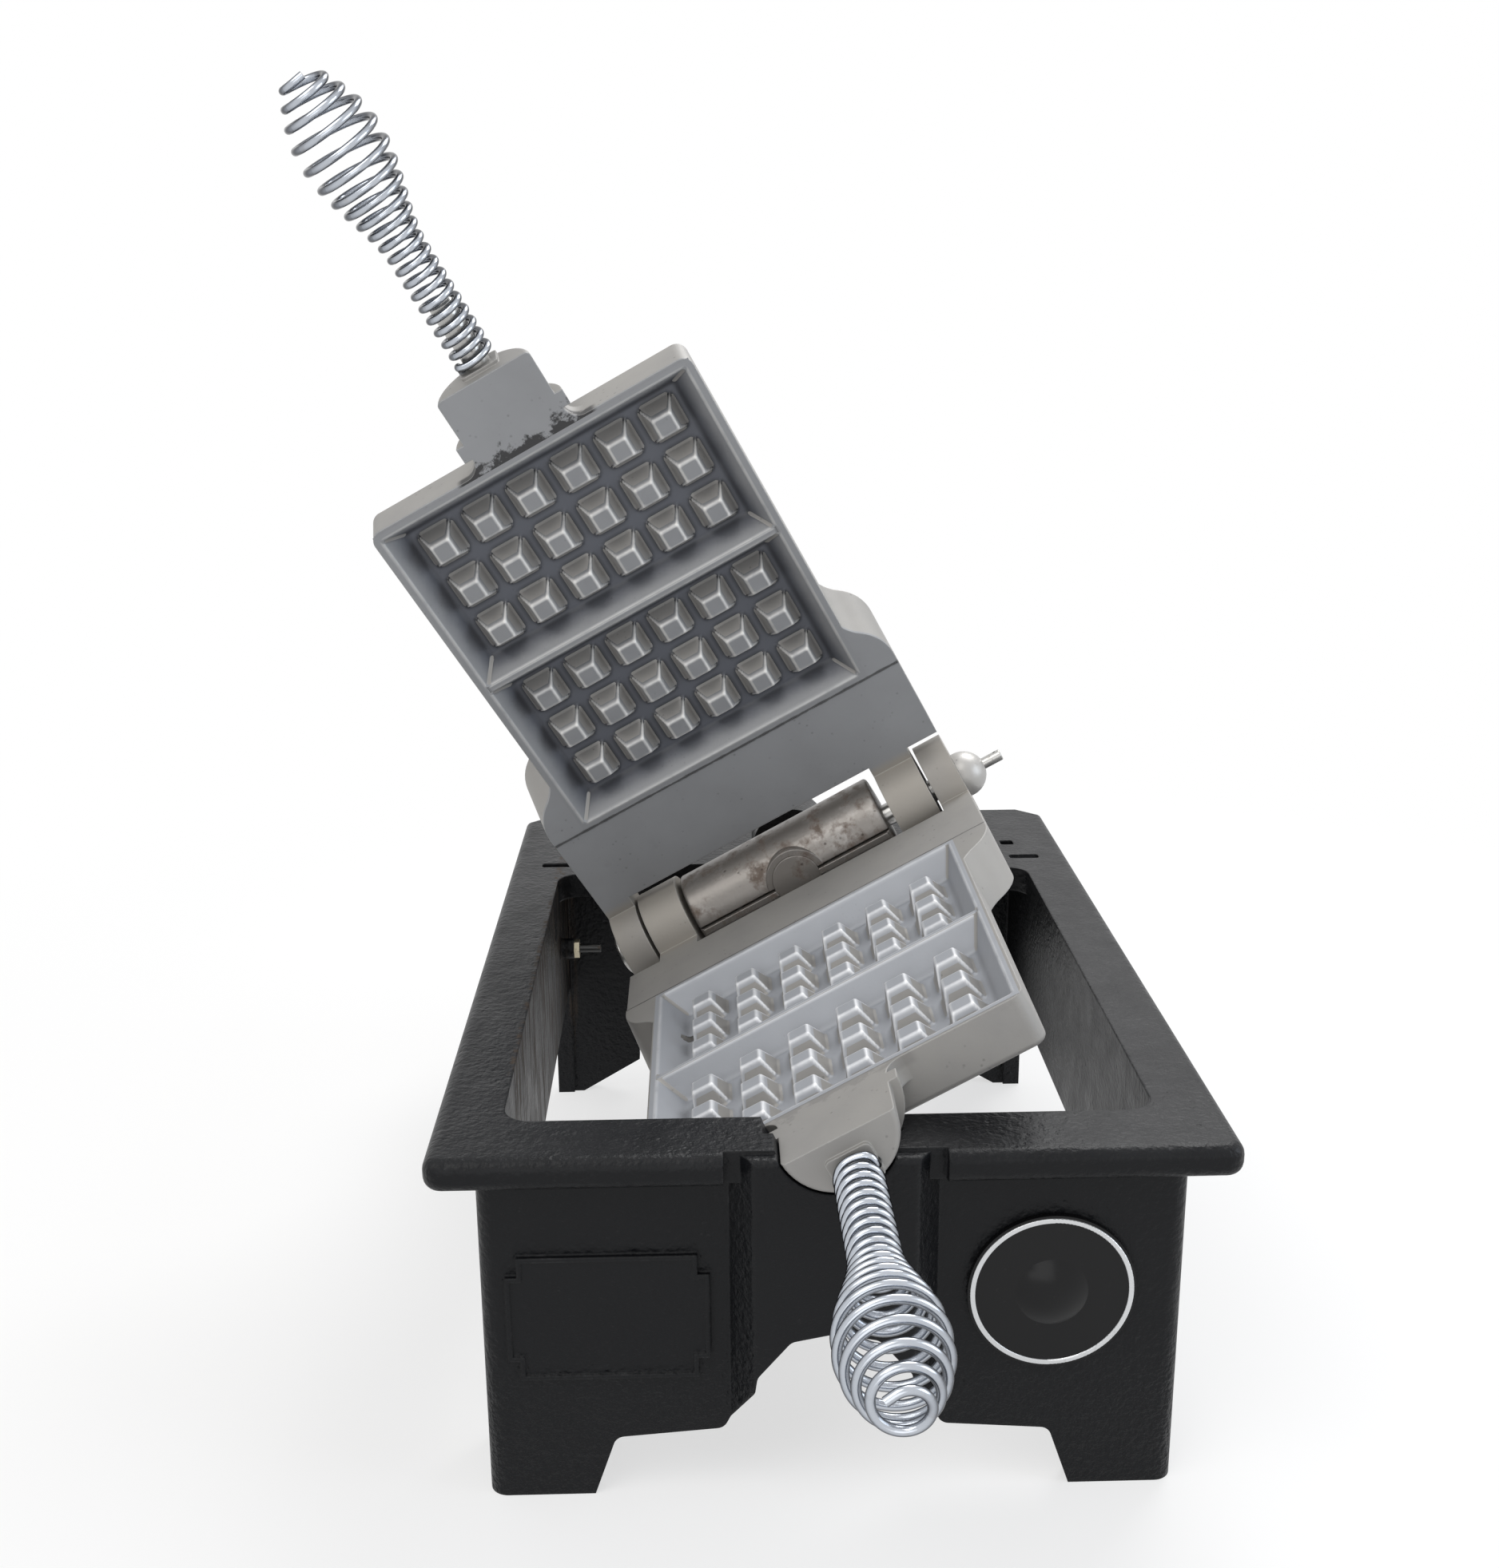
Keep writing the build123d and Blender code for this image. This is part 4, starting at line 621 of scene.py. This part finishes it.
def pocket_height(u, v, sizes):
    """Height of the waffle face over the casting's own plane.

    The floor lies at -depth. A wall rises from it by depth over its run, measured from the pocket's
    edge. A cube rises as the least of its flat top and its four slopes. The face is the softened
    largest of floor, walls and cubes, and never rises above the rim or the divider's crest.
    """
    bay_length = (sizes.front - sizes.rear - sizes.divider_crest) / 2
    from_divider = np.abs(v + (sizes.front + sizes.rear) / 2)
    from_bay = np.abs(from_divider - (bay_length + sizes.divider_crest) / 2)
    side_rise = sizes.depth * (1 - (sizes.half_width - np.abs(u)) / sizes.side_run)
    end_rise = sizes.depth * (1 - (bay_length / 2 - from_bay) / sizes.end_run)
    wall = soft_max(side_rise, end_rise, sizes.foot_round)
    across_cube, along_cube = from_cube(u, v, sizes)
    height = sizes.depth - sizes.top_drop
    slope_across = height * 2 / (sizes.base_across - sizes.cube_top)
    slope_along = height * 2 / (sizes.base_along - sizes.cube_top)
    corner_round, top_round = 2.0 * sizes.edge_round, 1.6 * sizes.edge_round
    flank = soft_min((sizes.base_across / 2 - across_cube) * slope_across,
                     (sizes.base_along / 2 - along_cube) * slope_along, corner_round)
    cube = soft_min(np.full_like(u, height), flank, top_round)
    rise = soft_max(np.zeros_like(u), soft_max(wall, cube, sizes.foot_round), sizes.foot_round)
    crest_limit = np.where((from_divider < sizes.divider_crest) & (np.abs(u) < sizes.half_width),
                           sizes.depth - sizes.divider_drop, sizes.depth)
    return soft_min(rise, crest_limit, sizes.edge_round) - sizes.depth


def surface_mesh(name, points, in_hole):
    """A smooth mesh of quads over a grid of points, without the quads whose diagonal lies in the hole."""
    rows, columns = in_hole.shape
    index = np.arange(rows * columns).reshape(rows, columns)
    quads = np.stack([index[:-1, :-1], index[1:, :-1], index[1:, 1:], index[:-1, 1:]], -1).reshape(-1, 4)
    kept = ~(in_hole[:-1, :-1] & in_hole[1:, 1:]).reshape(-1)
    mesh = bpy.data.meshes.new(name)
    mesh.from_pydata(points.tolist(), [], quads[kept].tolist())
    mesh.shade_smooth()
    return mesh


def grid_face(name, sizes, seat, rim_gap, has_vent):
    """The waffle face of one half as one surface, with the rise, crests and feet kept as attributes.

    Two parameters on a grid: u across and v along the casting; the height is pocket_height. The bend
    is its Laplacian, in 1/m: crests are where it is most negative. Feet are a band round each cube's
    rounded foot, and where the bend is greatest.
    """
    margin = 3.2 * MM
    crest_from, crest_span, hollow_span, hollow_share = 350, 1500, 900, 0.7
    most_lift, rim_lift = 3 * sizes.proud, 0.6 * sizes.proud
    step_across = sizes.pitch_across / sizes.steps_across
    step_along = sizes.pitch_along / sizes.steps_along
    across = np.arange(-sizes.half_width - margin, sizes.half_width + margin, step_across)
    along = np.arange(-sizes.front - margin, -sizes.rear + margin, step_along)
    u, v = np.meshgrid(across, along, indexing="ij")
    height = pocket_height(u, v, sizes)
    slope_u, slope_v = np.gradient(height, step_across, step_along)
    bend = np.gradient(slope_u, step_across, axis=0) + np.gradient(slope_v, step_along, axis=1)
    # The crest mask carries a painted highlight in the material.
    crest = np.clip((-bend - crest_from) / crest_span, 0, 1)
    across_cube, along_cube = from_cube(u, v, sizes)
    past_foot = np.hypot(np.maximum(across_cube - sizes.base_across / 2 + sizes.foot_corner, 0),
                         np.maximum(along_cube - sizes.base_along / 2 + sizes.foot_corner, 0))
    from_ring = np.abs(past_foot - sizes.foot_corner - sizes.soot_and_shade_width / 8)
    ring = np.clip(1 - from_ring / sizes.soot_and_shade_width, 0, 1)
    # The foot mask carries soot and painted shade: a band round each cube's foot, and the hollows where the
    # bend is greatest.
    foot = np.maximum(ring, hollow_share * np.clip(bend / hollow_span, 0, 1))
    inside = (np.abs(u) < sizes.half_width) & (v > -sizes.front) & (v < -sizes.rear)
    ground = np.minimum(height, -rim_gap)
    lift = sizes.proud * np.sqrt(1 + slope_u ** 2 + slope_v ** 2)
    points = np.stack([u, v, ground + np.where(inside, np.minimum(lift, most_lift), rim_lift)], -1)
    matrix = np.array(seat)
    placed = points.reshape(-1, 3) @ matrix[:3, :3].T + matrix[:3, 3]
    in_vent = has_vent & (np.hypot(u - sizes.vent_across, v - sizes.vent_along) < sizes.vent_radius)
    mesh = surface_mesh(name, placed, in_vent)
    rise = (height + sizes.depth) / sizes.depth
    for label, values in zip(FACE_LABELS, (rise, crest, foot)):
        layer = mesh.attributes.new(label, "FLOAT", "POINT")
        layer.data.foreach_set("value", values.reshape(-1).astype(np.float32))
    piece = bpy.data.objects.new(name, mesh)
    bpy.context.scene.collection.objects.link(piece)
    return piece


# Operators

class WAFFLEIRON_OT_stand(bpy.types.Operator):
    """Paint the cast stand"""
    bl_idname = "waffleiron.stand"
    bl_label = "Stand"

    def execute(self, context):
        dress("base_frame", stand_paint(context.scene.waffle_colours))
        return {"FINISHED"}


class WAFFLEIRON_OT_badge(bpy.types.Operator):
    """Finish the round badge's disc, boss and ring"""
    bl_idname = "waffleiron.badge"
    bl_label = "Badge"

    def execute(self, context):
        colours = context.scene.waffle_colours
        enamel = badge_enamel(colours)
        dress("badge_disc", enamel)
        dress("badge_boss", enamel)
        dress("badge_ring", badge_silver(colours))
        return {"FINISHED"}


class WAFFLEIRON_OT_fasteners(bpy.types.Operator):
    """Finish the screws, nut, rivets, washers, studs, cotter and pin"""
    bl_idname = "waffleiron.fasteners"
    bl_label = "Fasteners"

    def execute(self, context):
        colours = context.scene.waffle_colours
        steel = fastener_steel("fastener_steel", colours.steel, colours)
        for name in ("badge_rivets", "trunnion_screws", "stem_washer", "stem_cotter",
                     "hinge_pin", "hinge_pin_washer", "lower_handle_stud", "upper_handle_stud"):
            dress(name, steel)
        dress("side_nut", fastener_steel("nut_brass", colours.brass, colours))
        dress("side_screw", fastener_steel("dark_screw", colours.dark_steel, colours))
        return {"FINISHED"}


class WAFFLEIRON_OT_trunnion(bpy.types.Operator):
    """Finish the trunnion's shells and stem and the ball nut"""
    bl_idname = "waffleiron.trunnion"
    bl_label = "Trunnion"

    def execute(self, context):
        colours = context.scene.waffle_colours
        iron = trunnion_iron(colours)
        for name in ("trunnion_cap", "trunnion_base", "trunnion_stem"):
            dress(name, iron)
        dress("hinge_ball_nut", ball_metal(colours))
        return {"FINISHED"}


class WAFFLEIRON_OT_castings(bpy.types.Operator):
    """Finish both waffle castings and lay the waffle faces in their pockets"""
    bl_idname = "waffleiron.castings"
    bl_label = "Waffle castings"

    def execute(self, context):
        colours = context.scene.waffle_colours
        sizes = context.scene.waffle_grid
        rim_gap = 0.3 * MM
        lower_burnt, upper_burnt = 0.2, 0.95
        # Shares of soot and painted shade at the cubes' feet.
        lower_soot_and_shade, upper_soot_and_shade = 0.3, 0.85
        dress("lower_grid", casting_metal("lower_casting_metal", colours, LOWER_SEAT,
                                          colours.casting, lower_burnt))
        dress("upper_grid", casting_metal("upper_casting_metal", colours, UPPER_SEAT,
                                          colours.upper_casting, upper_burnt))
        lower = grid_face("lower_grid_face", sizes, LOWER_SEAT, rim_gap, True)
        lower.data.materials.append(grid_metal(
            "lower_grid_metal", colours, LOWER_SEAT, colours.lower_pocket, colours.lower_pocket,
            colours.lower_crest_highlight, lower_soot_and_shade))
        upper = grid_face("upper_grid_face", sizes, UPPER_SEAT, rim_gap, False)
        upper.data.materials.append(grid_metal(
            "upper_grid_metal", colours, UPPER_SEAT, colours.upper_pocket, colours.cube_face,
            colours.upper_crest_highlight, upper_soot_and_shade))
        for piece, body in ((lower, "lower_half"), (upper, "upper_half")):
            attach(piece, body)
        return {"FINISHED"}


class WAFFLEIRON_OT_handles(bpy.types.Operator):
    """Finish the two spring handles"""
    bl_idname = "waffleiron.handles"
    bl_label = "Handles"

    def execute(self, context):
        plate = chrome_plate(context.scene.waffle_colours)
        for name in ("lower_handle_spring", "upper_handle_spring"):
            dress(name, plate)
        return {"FINISHED"}


def aim(place, target):
    """Matrix that stands a lamp at place and points it at target."""
    turn = (Vector(target) - Vector(place)).to_track_quat("-Z", "Y")
    return Matrix.Translation(place) @ turn.to_matrix().to_4x4()


def add_lamp(name, place, target, size, watts, lamp_colour):
    """A square area lamp."""
    data = bpy.data.lights.new(name, "AREA")
    data.size = size
    data.energy = watts
    data.color = lamp_colour
    lamp = bpy.data.objects.new(name, data)
    lamp.matrix_world = aim(place, target)
    bpy.context.scene.collection.objects.link(lamp)


def white_world(strength):
    """A white room: full white to the camera, in reflections and through glass, softer as light."""
    world = bpy.data.worlds.new("room")
    bpy.context.scene.world = world
    world.use_nodes = True
    tree = world.node_tree
    back = tree.nodes["Background"]
    rays = add_node(tree, "ShaderNodeLightPath").outputs
    seen = maths(tree, "ADD", rays["Is Camera Ray"], rays["Is Glossy Ray"], clamp=True)
    seen = maths(tree, "ADD", seen, rays["Is Transmission Ray"], clamp=True)
    level = spread(tree, strength, seen, span=1.0 - strength)
    tree.links.new(level, back.inputs["Strength"])
    back.inputs["Color"].default_value = (1, 1, 1, 1)


def lift_floor(tree, shader):
    """To the camera and in reflections the floor is mostly plain white, all white further out."""
    near_white, white_ring = 0.62, (0.3, 0.95)
    place = object_place(tree)
    reach = add_node(tree, "ShaderNodeVectorMath", {0: place}, operation="LENGTH").outputs["Value"]
    share_white = spread(tree, near_white, ramp(tree, reach, *white_ring), span=1 - near_white)
    rays = add_node(tree, "ShaderNodeLightPath").outputs
    seen = maths(tree, "MAXIMUM", rays["Is Camera Ray"], rays["Is Glossy Ray"])
    seen = maths(tree, "MAXIMUM", seen, rays["Is Transmission Ray"])
    white = add_node(tree, "ShaderNodeEmission", {"Color": (1, 1, 1, 1), "Strength": 1.0}).outputs[0]
    lifted = add_node(tree, "ShaderNodeMixShader", {
        0: product(tree, seen, share_white), 1: shader.outputs[0], 2: white}).outputs[0]
    tree.links.new(lifted, tree.nodes["Material Output"].inputs["Surface"])


def add_floor(floor_colour):
    """A square floor that stays out of the part."""
    material, tree, shader = new_material("pale_floor", floor_colour, roughness=0.85)
    lift_floor(tree, shader)
    half_side = 6.0
    corners = [(-half_side, -half_side, 0), (half_side, -half_side, 0),
               (half_side, half_side, 0), (-half_side, half_side, 0)]
    mesh = bpy.data.meshes.new("floor")
    mesh.from_pydata(corners, [], [(0, 1, 2, 3)])
    mesh.materials.append(material)
    floor = bpy.data.objects.new("floor", mesh)
    bpy.context.scene.collection.objects.link(floor)


def add_camera(settings):
    """The camera of the photograph: yaw, pitch and roll turn a level view along +Y."""
    turn = (Matrix.Rotation(settings.yaw, 3, "Z") @ Matrix.Rotation(settings.pitch, 3, "X")
            @ Matrix.Rotation(settings.roll, 3, "Y"))
    right, ahead, up = turn.col[0], turn.col[1], turn.col[2]
    data = bpy.data.cameras.new("photo_camera")
    data.sensor_fit = "AUTO"
    data.sensor_width = 36
    data.lens = settings.lens
    data.clip_start = 0.05
    camera = bpy.data.objects.new("photo_camera", data)
    axes = Matrix((right, up, -ahead)).transposed()
    camera.matrix_world = Matrix.Translation(settings.camera_at) @ axes.to_4x4()
    bpy.context.scene.collection.objects.link(camera)
    bpy.context.scene.camera = camera


class WAFFLEIRON_OT_stage(bpy.types.Operator):
    """Floor, room, lamps and camera"""
    bl_idname = "waffleiron.stage"
    bl_label = "Stage"

    def execute(self, context):
        settings = context.scene.waffle_stage
        add_floor(context.scene.waffle_colours.floor)
        white_world(settings.sky)
        middle = (0, 0, 0.25)
        add_lamp("key_light", (-0.9, -1.0, 1.9), middle, 1.4, settings.key_power, (1.0, 0.985, 0.96))
        add_lamp("window_light", (1.6, -0.5, 0.9), middle, 1.0, settings.window_power, (0.80, 0.89, 1.0))
        add_lamp("fill_light", (-0.2, -1.9, 0.4), middle, 1.2, settings.fill_power, (1.0, 1.0, 1.0))
        add_lamp("top_light", (0.5, 0.9, 1.7), middle, 1.0, settings.top_power, (1.0, 1.0, 1.0))
        add_camera(settings)
        context.scene.view_settings.view_transform = "Standard"
        return {"FINISHED"}


class WAFFLEIRON_PT_panel(bpy.types.Panel):
    """Lists the operators and the properties"""
    bl_idname = "WAFFLEIRON_PT_panel"
    bl_label = "Waffle iron"
    bl_space_type = "VIEW_3D"
    bl_region_type = "UI"
    bl_category = "Waffle iron"

    def draw(self, context):
        for step in STEPS:
            self.layout.operator(step.bl_idname)
        for group in (context.scene.waffle_grid, context.scene.waffle_colours, context.scene.waffle_stage):
            for name in group.__annotations__:
                self.layout.prop(group, name)


GROUPS = {"waffle_grid": WaffleGridSizes, "waffle_colours": WaffleIronColours,
          "waffle_stage": WaffleIronStage}
STEPS = (WAFFLEIRON_OT_stand, WAFFLEIRON_OT_badge, WAFFLEIRON_OT_fasteners, WAFFLEIRON_OT_trunnion,
         WAFFLEIRON_OT_castings, WAFFLEIRON_OT_handles, WAFFLEIRON_OT_stage)
CLASSES = (*GROUPS.values(), *STEPS, WAFFLEIRON_PT_panel)


def register():
    """Registers the classes and puts the properties on the scene."""
    for item in CLASSES:
        bpy.utils.register_class(item)
    for name, group in GROUPS.items():
        setattr(bpy.types.Scene, name, PointerProperty(type=group))


def unregister():
    """Takes the properties off the scene and removes the classes."""
    for name in GROUPS:
        delattr(bpy.types.Scene, name)
    for item in reversed(CLASSES):
        bpy.utils.unregister_class(item)


def build():
    """Runs every step in order."""
    register()
    for step in STEPS:
        category, name = step.bl_idname.split(".")
        getattr(getattr(bpy.ops, category), name)()


if __name__ == "__main__":
    build()
